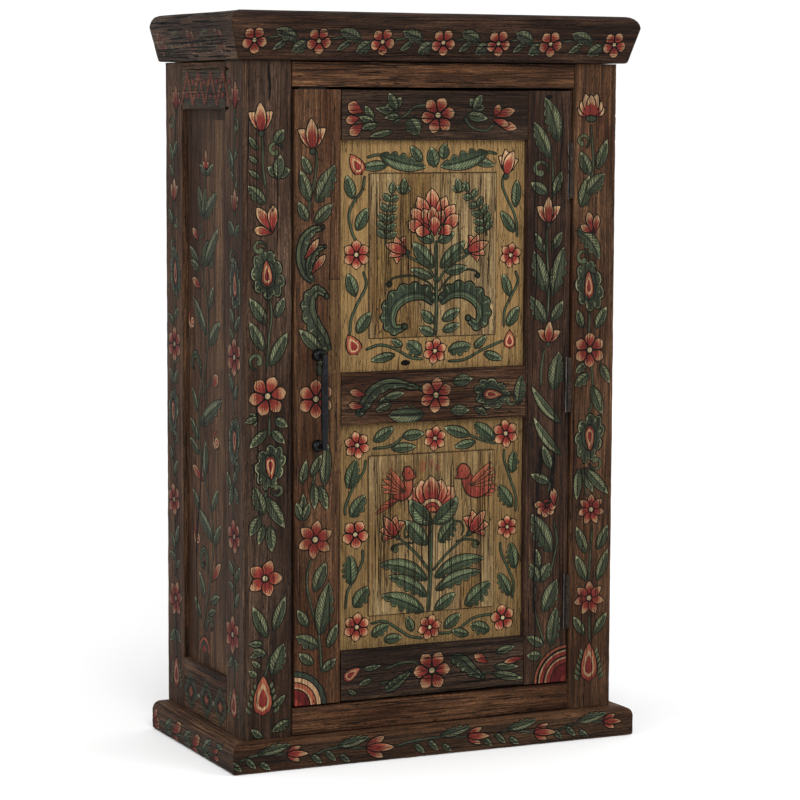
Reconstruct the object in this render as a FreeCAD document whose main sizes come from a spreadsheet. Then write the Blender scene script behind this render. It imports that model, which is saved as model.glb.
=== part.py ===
import FreeCAD, Part
import os
import Sketcher

# Kas cupboard: a framed and panelled case with one inset door on three butt hinges.
# The origin is the middle of the base on the floor, +X to the right, +Y to the back, +Z up.
# Sizes are millimetres. The case stands on a plinth and carries a mitred cornice.

doc = FreeCAD.newDocument("kas_cupboard")

sizes = {
    # case
    "case_wide": 676,           # over the front frame
    "case_deep": 352,           # front face to back face
    "case_high": 1092,          # top of the plinth to the underside of the cornice
    "frame_thick": 22,          # front frame, side frames, plinth and cornice backing
    "stile_left_wide": 86,      # front frame, left upright
    "stile_right_wide": 82,     # front frame, right upright, which carries the hinges
    "head_rail_high": 42,       # front frame, above the door
    "foot_rail_high": 46,       # front frame, below the door
    "tenon_deep": 10,           # grooves and mortises
    "tenon_thick": 6,
    "tenon_shoulder": 4,        # height left over and under a blind tenon
    "tenon_clear": 0.5,         # end of a tenon to the bottom of its groove
    "arris": 1.5,               # rounding of exposed long edges
    # side frames
    "side_front_wide": 54,
    "side_rear_wide": 80,
    "side_head_high": 79,
    "side_foot_high": 89,
    "side_panel_thick": 7,
    "side_panel_set": 9,        # panel face behind the frame face
    "panel_clear": 2,           # edge of a panel to the bottom of its groove
    # back
    "back_thick": 12,
    "back_lap": 10,             # rabbet in the rear uprights that takes the back boards
    "back_gap": 0.8,            # between two back boards
    # inside
    "board_thick": 18,          # floor board and shelves
    "shelf_low": 425,           # top face of the lower shelf over the floor
    "shelf_high": 765,          # top face of the upper shelf over the floor
    "shelf_clear": 0.3,         # end of a shelf to the side frame
    "shelf_behind": 4,          # front of a shelf behind the door's back
    "cleat_wide": 18,
    "cleat_short": 24,          # rear end of a cleat in front of the back boards
    # plinth and cornice
    "plinth_high": 49,
    "plinth_reach": 29,         # stands out from the case at the front and sides
    "plinth_round": 13,         # top outer edge
    "plinth_foot_round": 4,     # bottom outer edge
    "cornice_high": 79,
    "cornice_foot": 12,         # stands out from the case at its underside
    "cornice_reach": 28,        # stands out from the case at its widest
    "cornice_lip": 21,          # height of the upright part under the top face
    "cornice_round": 19,        # top outer edge
    "cornice_foot_round": 6,    # bottom outer edge
    "top_thick": 20,            # board let into the cornice
    "top_seat": 11,             # width of the rabbet under that board
    # door
    "door_gap": 3,              # all round, in the front frame
    "door_thick": 22,
    "door_stile_wide": 83,
    "door_head_high": 82,
    "door_middle_high": 87,
    "door_foot_high": 84,
    "door_middle_up": 455,      # underside of the middle rail over the door's lower edge
    "groove_set": 3,            # panel groove in front of the door's back face
    "field_set": 8,             # raised field behind the door's front face
    "field_step": 2,            # step from the field down to the bevel
    "bevel_wide": 53,           # bevelled border round the field
    # hinges
    "hinge_long": 92,
    "hinge_top": 132,           # middle of the top hinge under the door's upper edge
    "hinge_low": 138,           # middle of the bottom hinge over the door's lower edge
    "hinge_lift": 8,            # middle hinge above the door's middle
    "knuckle_wide": 9,
    "knuckle_gap": 0.4,
    "knuckle_clear": 0.2,       # barrel to the edge of the front frame
    "notch_clear": 0.5,         # barrel to the notched edge of the door
    "pin_wide": 5,
    "pin_clear": 0.05,          # pin to bore, all round
    "pin_forward": 1.25,        # pin axis in front of the case's face
    "leaf_thick": 2,
    "leaf_deep": 20,            # rear edge of a leaf behind the case's face
    "leaf_gap": 0.5,            # between the two leaves with the door shut
    "leaf_screw_end": 14,       # outer screws from the ends of a leaf
    # screws and nails
    "screw_head": 7,
    "screw_head_deep": 2,
    "screw_wide": 3.5,
    "hole_clear": 0.1,          # fastener to hole, all round
    "hinge_screw_long": 20,
    "cleat_screw_long": 32,
    "catch_screw_long": 28,
    "strike_screw_long": 12,
    "nail_head": 4.6,
    "nail_head_deep": 1.5,
    "nail_wide": 2.4,
    "nail_long": 30,
    "nail_in": 36,              # from a back board's edge
    # catch behind the head rail
    "catch_wide": 50,
    "catch_high": 30,
    "catch_deep": 14,
    "catch_down": 16,           # reaches below the head rail
    "catch_gap": 0.4,           # to the strike plate with the door shut
    "catch_screw_pitch": 30,
    "magnet_wide": 30,
    "magnet_high": 10,
    "magnet_deep": 8,
    "magnet_up": 2,             # over the underside of the housing
    "strike_thick": 1.5,
    "strike_side": 4,           # narrower than the housing at each end
    # pull
    "pull_in": 38,              # axis from the door's left edge
    "pull_low": 426,            # lower foot over the door's lower edge
    "pull_span": 147,           # between the two feet
    "pull_ball": 21,            # diameter of a foot
    "ball_cut": 62,             # latitude in degrees where a foot is cut flat
    "pull_neck": 9,             # diameter of the arms and of the bar's ends
    "pull_middle": 13,          # diameter of the bar halfway
    "pull_out": 36,             # bar's axis in front of the door
    "pull_screw_wide": 4,
    "pull_screw_in": 10,        # reaches into an arm
}

dims = doc.addObject("Spreadsheet::Sheet", "dims")
for row, (alias, value) in enumerate(sizes.items(), start=1):
    dims.set(f"A{row}", alias)
    dims.set(f"B{row}", str(value))
    dims.setAlias(f"B{row}", alias)
doc.recompute()

# Planes and lengths that many pieces share, as expressions of the sheet's sizes.
# The plinth and the pull stand out in front of the case; the further of them counts as its front.
left = "(-dims.case_wide / 2)"
right = "(dims.case_wide / 2)"
proud = "max(dims.plinth_reach; dims.pull_out + dims.pull_middle / 2)"
front = f"(({proud} - dims.case_deep) / 2)"
back = f"(({proud} + dims.case_deep) / 2)"
inner = f"({front} + dims.frame_thick)"
base = "dims.plinth_high"
crown = "(dims.plinth_high + dims.case_high)"
summit = f"({crown} + dims.cornice_high)"
inside_left = f"({left} + dims.frame_thick)"
inside_right = f"({right} - dims.frame_thick)"
inside_wide = "(dims.case_wide - 2 * dims.frame_thick)"
backing = f"({back} - dims.back_thick)"

opening_left = f"({left} + dims.stile_left_wide)"
opening_right = f"({right} - dims.stile_right_wide)"
opening_low = f"({base} + dims.foot_rail_high)"
opening_top = f"({crown} - dims.head_rail_high)"

door_left = f"({opening_left} + dims.door_gap)"
door_right = f"({opening_right} - dims.door_gap)"
door_low = f"({opening_low} + dims.door_gap)"
door_top = f"({opening_top} - dims.door_gap)"
door_high = f"({door_top} - {door_low})"
door_back = f"({front} + dims.door_thick)"

tenon = "(dims.tenon_deep - dims.tenon_clear)"
tongue = "(dims.tenon_deep - dims.panel_clear)"

corners = {}
parts = []


def body(label, corner):
    # a sub-part whose own origin lies at the given corner
    part = doc.addObject("PartDesign::Body", label)
    part.Label = label
    corners[label] = corner
    parts.append(part)
    for axis, place in zip("xyz", corner):
        part.setExpression(f"Placement.Base.{axis}", place)
    return part


def put(feature, part, at):
    # places a feature by the cupboard's own coordinates
    for axis, there, here in zip("xyz", at, corners[part.Label]):
        feature.setExpression(f"Placement.Base.{axis}", f"({there}) - ({here})")


def block(part, name, at, size, kind="PartDesign::AdditiveBox"):
    feature = part.newObject(kind, name)
    for side, length in zip(("Length", "Width", "Height"), size):
        feature.setExpression(side, length)
    put(feature, part, at)


def cut(part, name, at, size):
    block(part, name, at, size, "PartDesign::SubtractiveBox")


def board(label, at, size):
    part = body(label, at)
    block(part, "Board", at, size)
    return part


turned = {
    "x": FreeCAD.Rotation(FreeCAD.Vector(0, 1, 0), 90),
    "-x": FreeCAD.Rotation(FreeCAD.Vector(0, 1, 0), -90),
    "y": FreeCAD.Rotation(FreeCAD.Vector(1, 0, 0), -90),
    "-y": FreeCAD.Rotation(FreeCAD.Vector(1, 0, 0), 90),
    "z": FreeCAD.Rotation(),
}


def round_feature(part, kind, name, at, way, values):
    # a cylinder, cone or ball of a body, its axis turned the given way
    feature = part.newObject(f"PartDesign::{kind}", name)
    feature.Placement = FreeCAD.Placement(FreeCAD.Vector(), turned[way])
    for prop, value in values.items():
        feature.setExpression(prop, value)
    put(feature, part, at)


def hole(part, name, at, way, kind):
    # for a fastener whose head face lies at the given point
    round_feature(part, "SubtractiveCylinder", name, at, way, {
        "Radius": f"{kind['wide']} / 2 + dims.hole_clear", "Height": f"{kind['long']} + dims.hole_clear"})


def countersink(part, name, at, way, kind):
    # the same hole with a seat for the head
    round_feature(part, "SubtractiveCone", f"{name}Seat", at, way, {
        "Radius1": f"{kind['head']} / 2 + dims.hole_clear",
        "Radius2": f"{kind['wide']} / 2 + dims.hole_clear", "Height": kind["deep"]})
    hole(part, name, at, way, kind)


def loose(kind, name, at, way, values):
    # a plain solid outside any body
    thing = doc.addObject(kind, name)
    thing.Placement = FreeCAD.Placement(FreeCAD.Vector(), turned[way])
    for prop, value in values.items():
        thing.setExpression(prop, value)
    for axis, place in zip("xyz", at):
        thing.setExpression(f"Placement.Base.{axis}", place)
    return thing


def fastener(name, at, way, kind):
    # a countersunk screw or nail, from its head face along the given way
    head = loose("Part::Cone", f"{name}Head", at, way, {
        "Radius1": f"{kind['head']} / 2", "Radius2": f"{kind['wide']} / 2", "Height": kind["deep"]})
    shank = loose("Part::Cylinder", f"{name}Shank", at, way, {
        "Radius": f"{kind['wide']} / 2", "Height": kind["long"]})
    whole = doc.addObject("Part::MultiFuse", name)
    whole.Shapes = [head, shank]
    return whole


def group(label, members):
    # separate like pieces that share one node
    bundle = doc.addObject("Part::Compound", label)
    bundle.Label = label
    bundle.Links = members
    parts.append(bundle)


def screw(length):
    return {"head": "dims.screw_head", "deep": "dims.screw_head_deep", "wide": "dims.screw_wide",
            "long": length}


touching = 0.001


def along(edge, axis):
    # true for a straight edge that runs along the axis
    if edge.Curve.TypeId != "Part::GeomLine":
        return False
    run = edge.Vertexes[-1].Point - edge.Vertexes[0].Point
    return all(abs(getattr(run, other)) < touching for other in "xyz" if other != axis)


def lies_at(edge, places):
    return all(abs(getattr(edge.CenterOfMass, axis) - place) < touching for axis, place in places.items())


def soften(part, name, radius, picks):
    # rounds the edges of the body so far that the test picks
    doc.recompute()
    sharp = part.Tip
    edges = [f"Edge{number}" for number, edge in enumerate(sharp.Shape.Edges, start=1) if picks(edge)]
    fillet = part.newObject("PartDesign::Fillet", name)
    fillet.Base = (sharp, edges)
    fillet.setExpression("Radius", radius)


def soften_front(part, axis):
    # the two long edges of a board's front face
    soften(part, "Arris", "dims.arris", lambda edge: along(edge, axis) and lies_at(edge, {"y": 0}))


def origin_plane(part, role):
    return [item for item in part.Origin.OriginFeatures if item.Role == role][0]


def bind(sketch, number, end, point, spot):
    # ties one end of a sketch line to the sheet
    for kind, expression, value in zip(("DistanceX", "DistanceY"), point, spot):
        mark = sketch.addConstraint(Sketcher.Constraint(kind, -1, 1, number, end, value))
        sketch.setExpression(f"Constraints[{mark}]", expression)


def new_sketch(part, name, role):
    sketch = part.newObject("Sketcher::SketchObject", name)
    sketch.AttachmentSupport = [(origin_plane(part, role), "")]
    sketch.MapMode = "FlatFace"
    return sketch


def close_loop(sketch, sides):
    for number in range(sides):
        sketch.addConstraint(Sketcher.Constraint("Coincident", number, 2, (number + 1) % sides, 1))


def outline(part, name, role, points):
    # a closed polygon on an origin plane of the body, each corner bound to the sheet
    sketch = new_sketch(part, name, role)
    spots = [FreeCAD.Vector(*[float(dims.evalExpression(value)) for value in point]) for point in points]
    for number, spot in enumerate(spots):
        sketch.addGeometry(Part.LineSegment(spot, spots[(number + 1) % len(spots)]), False)
    close_loop(sketch, len(spots))
    for number, (point, spot) in enumerate(zip(points, spots)):
        bind(sketch, number, 1, point, spot)
    return sketch


# Front frame: two uprights with a head rail and a foot rail on blind stub tenons.

tenon_front = f"({front} + (dims.frame_thick - dims.tenon_thick) / 2)"
tenon_less = "2 * dims.tenon_shoulder"


def front_stile(side, x, wide, mortise_x):
    part = board(f"front_stile_{side}", (x, front, base), (wide, "dims.frame_thick", "dims.case_high"))
    soften_front(part, "z")
    for name, low, high in (
        ("Foot", base, "dims.foot_rail_high"),
        ("Head", opening_top, "dims.head_rail_high"),
    ):
        cut(part, f"{name}Mortise", (mortise_x, tenon_front, f"{low} + dims.tenon_shoulder"),
            ("dims.tenon_deep", "dims.tenon_thick", f"{high} - {tenon_less}"))
    return part


def front_rail(name, low, high):
    wide = f"({opening_right} - {opening_left})"
    part = board(f"front_rail_{name}", (opening_left, front, low), (wide, "dims.frame_thick", high))
    soften_front(part, "x")
    for end, x in (("Left", f"{opening_left} - {tenon}"), ("Right", opening_right)):
        block(part, f"{end}Tenon", (x, tenon_front, f"{low} + dims.tenon_shoulder"),
              (tenon, "dims.tenon_thick", f"{high} - {tenon_less}"))
    return part


front_stile("left", left, "dims.stile_left_wide", f"{opening_left} - dims.tenon_deep")
stile_right = front_stile("right", opening_right, "dims.stile_right_wide", opening_right)
head_rail = front_rail("top", opening_top, "dims.head_rail_high")
front_rail("bottom", base, "dims.foot_rail_high")


# Side frames: two uprights, two rails and a flat panel, all held in one groove.

side_front = inner
panel_front = f"({side_front} + dims.side_front_wide)"
panel_rear = f"({back} - dims.side_rear_wide)"
panel_deep = f"({panel_rear} - {panel_front})"
panel_low = f"({base} + dims.side_foot_high)"
panel_top = f"({crown} - dims.side_head_high)"
panel_thick = "dims.side_panel_thick"
side_stiles = {}


def side_frame(side, outer, panel_x, rabbet_x):
    # outer is the low X face of the frame, panel_x that of the panel
    for end, near, deep, groove in (
        ("front", side_front, "dims.side_front_wide", f"{panel_front} - dims.tenon_deep"),
        ("rear", panel_rear, "dims.side_rear_wide", panel_rear),
    ):
        part = board(f"side_stile_{end}_{side}", (outer, near, base),
                     ("dims.frame_thick", deep, "dims.case_high"))
        side_stiles[end, side] = part
        cut(part, "Groove", (panel_x, groove, base), (panel_thick, "dims.tenon_deep", "dims.case_high"))
    cut(side_stiles["rear", side], "BackRabbet", (rabbet_x, backing, base),
        ("dims.back_lap", "dims.back_thick", "dims.case_high"))
    for end, low, high, groove in (
        ("top", panel_top, "dims.side_head_high", panel_top),
        ("bottom", base, "dims.side_foot_high", f"{panel_low} - dims.tenon_deep"),
    ):
        part = board(f"side_rail_{end}_{side}", (outer, panel_front, low),
                     ("dims.frame_thick", panel_deep, high))
        block(part, "Tenons", (panel_x, f"{panel_front} - {tenon}", low),
              (panel_thick, f"{panel_deep} + 2 * {tenon}", high))
        cut(part, "Groove", (panel_x, f"{panel_front} - {tenon}", groove),
            (panel_thick, f"{panel_deep} + 2 * {tenon}", "dims.tenon_deep"))
    board(f"side_panel_{side}", (panel_x, f"{panel_front} - {tongue}", f"{panel_low} - {tongue}"),
          (panel_thick, f"{panel_deep} + 2 * {tongue}", f"{panel_top} - {panel_low} + 2 * {tongue}"))


side_frame("left", left, f"({left} + dims.side_panel_set)", f"{inside_left} - dims.back_lap")
side_frame("right", inside_right, f"({right} - dims.side_panel_set - {panel_thick})", inside_right)


# Inside: a floor board and two shelves, each on a pair of cleats screwed to the side frames.

behind_door = f"({door_back} + dims.shelf_behind)"
cleat_front = f"({behind_door} + dims.cleat_wide)"
cleat_long = f"({backing} - dims.cleat_short - {cleat_front})"
cleat_screw_y = {
    "front": f"(({cleat_front} + {panel_front}) / 2)",
    "rear": f"(({panel_rear} + {backing} - dims.cleat_short) / 2)",
}
cleat_screw = screw("dims.cleat_screw_long")
case_screws = []
shelves = {
    "floor": ("floor_board", opening_low, inner),
    "lower": ("shelf_lower", "dims.shelf_low", behind_door),
    "upper": ("shelf_upper", "dims.shelf_high", behind_door),
}
shelf_boards = {}
for level, (label, top, near) in shelves.items():
    underside = f"({top} - dims.board_thick)"
    cleat_low = f"({underside} - dims.cleat_wide)"
    shelf_boards[level] = board(
        label, (f"{inside_left} + dims.shelf_clear", near, underside),
        (f"{inside_wide} - 2 * dims.shelf_clear", f"{backing} - {near}", "dims.board_thick"))
    for side, cleat_x, head_x, way in (
        ("left", inside_left, f"({inside_left} + dims.cleat_wide)", "-x"),
        ("right", f"({inside_right} - dims.cleat_wide)", f"({inside_right} - dims.cleat_wide)", "x"),
    ):
        cleat = board(f"cleat_{level}_{side}", (cleat_x, cleat_front, cleat_low),
                      ("dims.cleat_wide", cleat_long, "dims.cleat_wide"))
        for end, screw_y in cleat_screw_y.items():
            spot = (head_x, screw_y, f"({cleat_low} + dims.cleat_wide / 2)")
            countersink(cleat, f"{end}Screw", spot, way, cleat_screw)
            hole(side_stiles[end, side], f"{level}Screw", spot, way, cleat_screw)
            case_screws.append(fastener(f"CleatScrew_{level}_{side}_{end}", spot, way, cleat_screw))


# Back: upright boards in the rabbets of the rear uprights, nailed to the floor and the shelves.

back_left = f"({inside_left} - dims.back_lap)"
back_places = ("left", "middle", "right")
back_gaps = f"({len(back_places) - 1} * dims.back_gap)"
back_wide = f"(({inside_wide} + 2 * dims.back_lap - {back_gaps}) / {len(back_places)})"
nail = {"head": "dims.nail_head", "deep": "dims.nail_head_deep", "wide": "dims.nail_wide",
        "long": "dims.nail_long"}
nails = []
for number, place in enumerate(back_places):
    board_x = f"({back_left} + {number} * ({back_wide} + dims.back_gap))"
    part = board(f"back_board_{place}", (board_x, backing, base),
                 (back_wide, "dims.back_thick", "dims.case_high"))
    nail_columns = {
        "Near": f"({board_x} + dims.nail_in)",
        "Far": f"({board_x} + {back_wide} - dims.nail_in)",
    }
    for level, (label, top, near) in shelves.items():
        for column, nail_x in nail_columns.items():
            spot = (nail_x, back, f"({top} - dims.board_thick / 2)")
            countersink(part, f"{level}{column}", spot, "-y", nail)
            hole(shelf_boards[level], f"{place}{column}", spot, "-y", nail)
            nails.append(fastener(f"Nail_{level}_{place}{column}", spot, "-y", nail))
group("back_nails", nails)


# Plinth and cornice: each has a front piece and two returns, mitred, and a plain back piece.

def moulding(label, corner, role, points, run, reverse, rounds):
    # rounds lists a name, the corner of the section that is rounded, and the radius
    part = body(label, corner)
    feature = part.newObject("PartDesign::Pad", "Moulding")
    feature.Profile = outline(part, "Section", role, points)
    feature.Reversed = reverse
    feature.setExpression("Length", run)
    length_way, across = ("x", "y") if role == "YZ_Plane" else ("y", "x")
    for name, number, radius in rounds:
        out, up = [float(dims.evalExpression(value)) for value in points[number]]
        place = {across: out, "z": up}
        soften(part, name, radius, lambda edge: along(edge, length_way) and lies_at(edge, place))
    return part


def mitre(part, name, waste, tall):
    # takes the waste off one end of a moulding
    feature = part.newObject("PartDesign::Pocket", name)
    feature.Profile = outline(part, f"{name}Waste", "XY_Plane", waste)
    feature.Reversed = True
    feature.setExpression("Length", tall)


def ring(word, low, tall, reach, section, rounds):
    # section lists the corners of the moulding as distance out from its inner face, and height
    depth = f"(dims.frame_thick + {reach})"
    long = f"(dims.case_wide + 2 * {reach})"
    deep = f"(dims.case_deep + {reach})"
    outer_left = f"({left} - {reach})"
    outer_front = f"({front} - {reach})"
    inward = [(f"{depth} - ({out})", up) for out, up in section]

    part = moulding(f"{word}_front", (outer_left, outer_front, low), "YZ_Plane", inward, long, False, rounds)
    mitre(part, "MitreLeft", [("0", "0"), ("0", depth), (depth, depth)], tall)
    mitre(part, "MitreRight", [(long, "0"), (long, depth), (f"{long} - {depth}", depth)], tall)

    part = moulding(f"{word}_left", (outer_left, outer_front, low), "XZ_Plane", inward, deep, True, rounds)
    mitre(part, "Mitre", [("0", "0"), (depth, "0"), (depth, depth)], tall)

    part = moulding(f"{word}_right", (inside_right, outer_front, low), "XZ_Plane", section, deep, True,
                    rounds)
    mitre(part, "Mitre", [("0", "0"), (depth, "0"), ("0", depth)], tall)


plinth_depth = "(dims.frame_thick + dims.plinth_reach)"
ring("plinth", "0", "dims.plinth_high", "dims.plinth_reach",
     [("0", "0"), ("0", "dims.plinth_high"), (plinth_depth, "dims.plinth_high"), (plinth_depth, "0")],
     (("TopRound", 2, "dims.plinth_round"), ("FootRound", 3, "dims.plinth_foot_round")))
board("plinth_back", (inside_left, f"{back} - dims.frame_thick", "0"),
      (inside_wide, "dims.frame_thick", "dims.plinth_high"))

cornice_depth = "(dims.frame_thick + dims.cornice_reach)"
seat_up = "(dims.cornice_high - dims.top_thick)"
ring("cornice", crown, "dims.cornice_high", "dims.cornice_reach",
     [("0", "0"), ("0", seat_up), ("dims.top_seat", seat_up), ("dims.top_seat", "dims.cornice_high"),
      (cornice_depth, "dims.cornice_high"), (cornice_depth, "dims.cornice_high - dims.cornice_lip"),
      ("dims.frame_thick + dims.cornice_foot", "0")],
     (("TopRound", 4, "dims.cornice_round"), ("FootRound", 6, "dims.cornice_foot_round")))
board("cornice_back", (inside_left, f"{back} - dims.frame_thick", crown),
      (inside_wide, "dims.frame_thick", seat_up))
board("top_board",
      (f"{inside_left} - dims.top_seat", f"{inner} - dims.top_seat", f"{summit} - dims.top_thick"),
      (f"{inside_wide} + 2 * dims.top_seat", f"{back} - {inner} + dims.top_seat", "dims.top_thick"))


# Door: two stiles and three rails round two raised panels, on stub tenons in one groove.

panel_left = f"({door_left} + dims.door_stile_wide)"
panel_right = f"({door_right} - dims.door_stile_wide)"
middle_low = f"({door_low} + dims.door_middle_up)"
middle_top = f"({middle_low} + dims.door_middle_high)"
foot_top = f"({door_low} + dims.door_foot_high)"
head_low = f"({door_top} - dims.door_head_high)"
panel_wide = f"({panel_right} - {panel_left})"
groove_front = f"({door_back} - dims.groove_set - dims.tenon_thick)"


def door_stile(side, x, groove_x):
    part = board(f"door_stile_{side}", (x, front, door_low),
                 ("dims.door_stile_wide", "dims.door_thick", door_high))
    soften_front(part, "z")
    cut(part, "Groove", (groove_x, groove_front, door_low),
        ("dims.tenon_deep", "dims.tenon_thick", door_high))
    return part


def door_rail(name, low, high, grooves):
    part = board(f"door_rail_{name}", (panel_left, front, low), (panel_wide, "dims.door_thick", high))
    soften_front(part, "x")
    long = f"({panel_wide} + 2 * {tenon})"
    block(part, "Tenons", (f"{panel_left} - {tenon}", groove_front, low), (long, "dims.tenon_thick", high))
    for edge, groove_low in grooves.items():
        cut(part, f"{edge}Groove", (f"{panel_left} - {tenon}", groove_front, groove_low),
            (long, "dims.tenon_thick", "dims.tenon_deep"))


def door_panel(name, low, top):
    # a flat tongue all round, a bevelled border and a raised field
    high = f"({top} - {low})"
    field_front = f"({front} + dims.field_set)"
    bevel_front = f"({field_front} + dims.field_step)"
    tongue_corner = (f"{panel_left} - {tongue}", groove_front, f"{low} - {tongue}")
    part = body(f"door_panel_{name}", tongue_corner)
    block(part, "Tongue", tongue_corner,
          (f"{panel_wide} + 2 * {tongue}", "dims.tenon_thick", f"{high} + 2 * {tongue}"))
    bevel = part.newObject("PartDesign::AdditiveWedge", "Bevel")
    for prop, value in {
        "Xmin": "dims.bevel_wide", "Xmax": f"{panel_wide} - dims.bevel_wide",
        "Zmin": "dims.bevel_wide", "Zmax": f"{high} - dims.bevel_wide",
        "X2min": "0", "X2max": panel_wide, "Z2min": "0", "Z2max": high,
        "Ymin": "0", "Ymax": f"{groove_front} - {bevel_front}",
    }.items():
        bevel.setExpression(prop, value)
    put(bevel, part, (panel_left, bevel_front, low))
    block(part, "Field", (f"{panel_left} + dims.bevel_wide", field_front, f"{low} + dims.bevel_wide"),
          (f"{panel_wide} - 2 * dims.bevel_wide", "dims.field_step", f"{high} - 2 * dims.bevel_wide"))


handle_stile = door_stile("left", door_left, f"{panel_left} - dims.tenon_deep")
hinge_stile = door_stile("right", panel_right, panel_right)
door_rail("top", head_low, "dims.door_head_high", {"Lower": head_low})
door_rail("middle", middle_low, "dims.door_middle_high",
          {"Lower": middle_low, "Upper": f"{middle_top} - dims.tenon_deep"})
door_rail("bottom", door_low, "dims.door_foot_high", {"Upper": f"{foot_top} - dims.tenon_deep"})
door_panel("upper", middle_top, head_low)
door_panel("lower", foot_top, middle_low)


# Hinges: three butt hinges of five knuckles; the door's leaf has the first, third and last.

knuckle_count = 5
pin_x = f"({opening_right} - dims.knuckle_clear - dims.knuckle_wide / 2)"
pin_y = f"({front} - dims.pin_forward)"
pitch = f"(dims.hinge_long / {knuckle_count})"
frame_leaf_x = f"({opening_right} - dims.leaf_thick)"
door_leaf_x = f"({frame_leaf_x} - dims.leaf_gap - dims.leaf_thick)"
door_leaf_face = f"({door_leaf_x} + dims.leaf_thick)"
slot_deep = "(dims.knuckle_wide / 2 + dims.knuckle_gap)"
screw_y = f"(({pin_y} + {slot_deep} + {front} + dims.leaf_deep) / 2)"
hinge_screw = screw("dims.hinge_screw_long")
screw_pitch = "(dims.hinge_long / 2 - dims.leaf_screw_end)"
screw_steps = (-1, 0, 1)
door_screws = []
hinge_middles = {
    "top": f"({door_top} - dims.hinge_top)",
    "middle": f"({door_low} + {door_high} / 2 + dims.hinge_lift)",
    "bottom": f"({door_low} + dims.hinge_low)",
}


def hinge_leaf(label, leaf_x, low, own):
    part = body(label, (leaf_x, pin_y, low))
    block(part, "Plate", (leaf_x, pin_y, low),
          ("dims.leaf_thick", "dims.leaf_deep + dims.pin_forward", "dims.hinge_long"))
    for number in range(knuckle_count):
        knuckle_low = f"({low} + {number} * {pitch})"
        if number in own:
            round_feature(part, "AdditiveCylinder", f"Knuckle{number}",
                          (pin_x, pin_y, f"{knuckle_low} + dims.knuckle_gap / 2"), "z",
                          {"Radius": "dims.knuckle_wide / 2", "Height": f"{pitch} - dims.knuckle_gap"})
        else:
            cut(part, f"Room{number}", (leaf_x, pin_y, knuckle_low), ("dims.leaf_thick", slot_deep, pitch))
    round_feature(part, "SubtractiveCylinder", "PinBore", (pin_x, pin_y, low), "z",
                  {"Radius": "dims.pin_wide / 2 + dims.pin_clear", "Height": "dims.hinge_long"})
    return part


pins = []
for place, middle in hinge_middles.items():
    low = f"({middle} - dims.hinge_long / 2)"
    cut(hinge_stile, f"{place}Notch",
        (f"{pin_x} - dims.knuckle_wide / 2 - dims.notch_clear", front, f"{low} - dims.notch_clear"),
        (f"{door_right} - {pin_x} + dims.knuckle_wide / 2 + dims.notch_clear",
         "dims.knuckle_wide / 2 + dims.notch_clear - dims.pin_forward",
         "dims.hinge_long + 2 * dims.notch_clear"))
    cut(hinge_stile, f"{place}LeafSeat", (door_leaf_x, front, low),
        (f"{door_right} - {door_leaf_x}", "dims.leaf_deep", "dims.hinge_long"))
    frame_leaf = hinge_leaf(f"hinge_frame_leaf_{place}", frame_leaf_x, low, (1, 3))
    door_leaf = hinge_leaf(f"hinge_door_leaf_{place}", door_leaf_x, low, (0, 2, 4))
    pins.append(loose("Part::Cylinder", f"Pin_{place}", (pin_x, pin_y, low), "z",
                      {"Radius": "dims.pin_wide / 2", "Height": "dims.hinge_long"}))
    for number in screw_steps:
        screw_z = f"({middle} + {number} * {screw_pitch})"
        name = f"{place}Screw{number - screw_steps[0]}"
        spot = (frame_leaf_x, screw_y, screw_z)
        countersink(frame_leaf, name, spot, "x", hinge_screw)
        hole(stile_right, name, spot, "x", hinge_screw)
        case_screws.append(fastener(f"Frame_{name}", spot, "x", hinge_screw))
        spot = (door_leaf_face, screw_y, screw_z)
        countersink(door_leaf, name, spot, "-x", hinge_screw)
        hole(hinge_stile, name, spot, "-x", hinge_screw)
        door_screws.append(fastener(f"Door_{name}", spot, "-x", hinge_screw))
group("hinge_pins", pins)


# Catch: a magnet in a housing behind the head rail, and a strike plate let into the door.

catch_x = f"({door_left} + (dims.door_stile_wide - dims.catch_wide) / 2)"
catch_middle = f"({catch_x} + dims.catch_wide / 2)"
catch_low = f"({opening_top} - dims.catch_down)"
relief = f"max({door_back} + dims.catch_gap - {inner}; dims.catch_gap)"
housing = board("catch_housing", (catch_x, inner, catch_low),
                ("dims.catch_wide", "dims.catch_deep", "dims.catch_high"))
cut(housing, "DoorRelief", (catch_x, inner, catch_low), ("dims.catch_wide", relief, "dims.catch_down"))
magnet_at = (f"{catch_middle} - dims.magnet_wide / 2", f"{inner} + {relief}",
             f"{catch_low} + dims.magnet_up")
magnet_size = ("dims.magnet_wide", "dims.magnet_deep", "dims.magnet_high")
cut(housing, "MagnetPocket", magnet_at, magnet_size)
board("catch_magnet", magnet_at, magnet_size)
catch_screw = screw("dims.catch_screw_long")
for hand, step in (("left", "-"), ("right", "+")):
    spot = (f"({catch_middle} {step} dims.catch_screw_pitch / 2)", f"({inner} + dims.catch_deep)",
            f"({opening_top} + (dims.catch_high - dims.catch_down) / 2)")
    countersink(housing, f"{hand}Screw", spot, "-y", catch_screw)
    hole(head_rail, f"{hand}Screw", spot, "-y", catch_screw)
    case_screws.append(fastener(f"Catch_{hand}", spot, "-y", catch_screw))

strike_at = (f"{catch_x} + dims.strike_side", f"{door_back} - dims.strike_thick", catch_low)
strike_size = ("dims.catch_wide - 2 * dims.strike_side", "dims.strike_thick", f"{door_top} - {catch_low}")
cut(handle_stile, "StrikeSeat", strike_at, strike_size)
strike = board("strike_plate", strike_at, strike_size)
strike_screw = screw("dims.strike_screw_long")
spot = (catch_middle, door_back, f"(({catch_low} + {door_top}) / 2)")
for part in (strike, handle_stile):
    countersink(part, "StrikeScrew", spot, "-y", strike_screw)
door_screws.append(fastener("Strike", spot, "-y", strike_screw))

group("case_screws", case_screws)
group("door_screws", door_screws)


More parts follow.
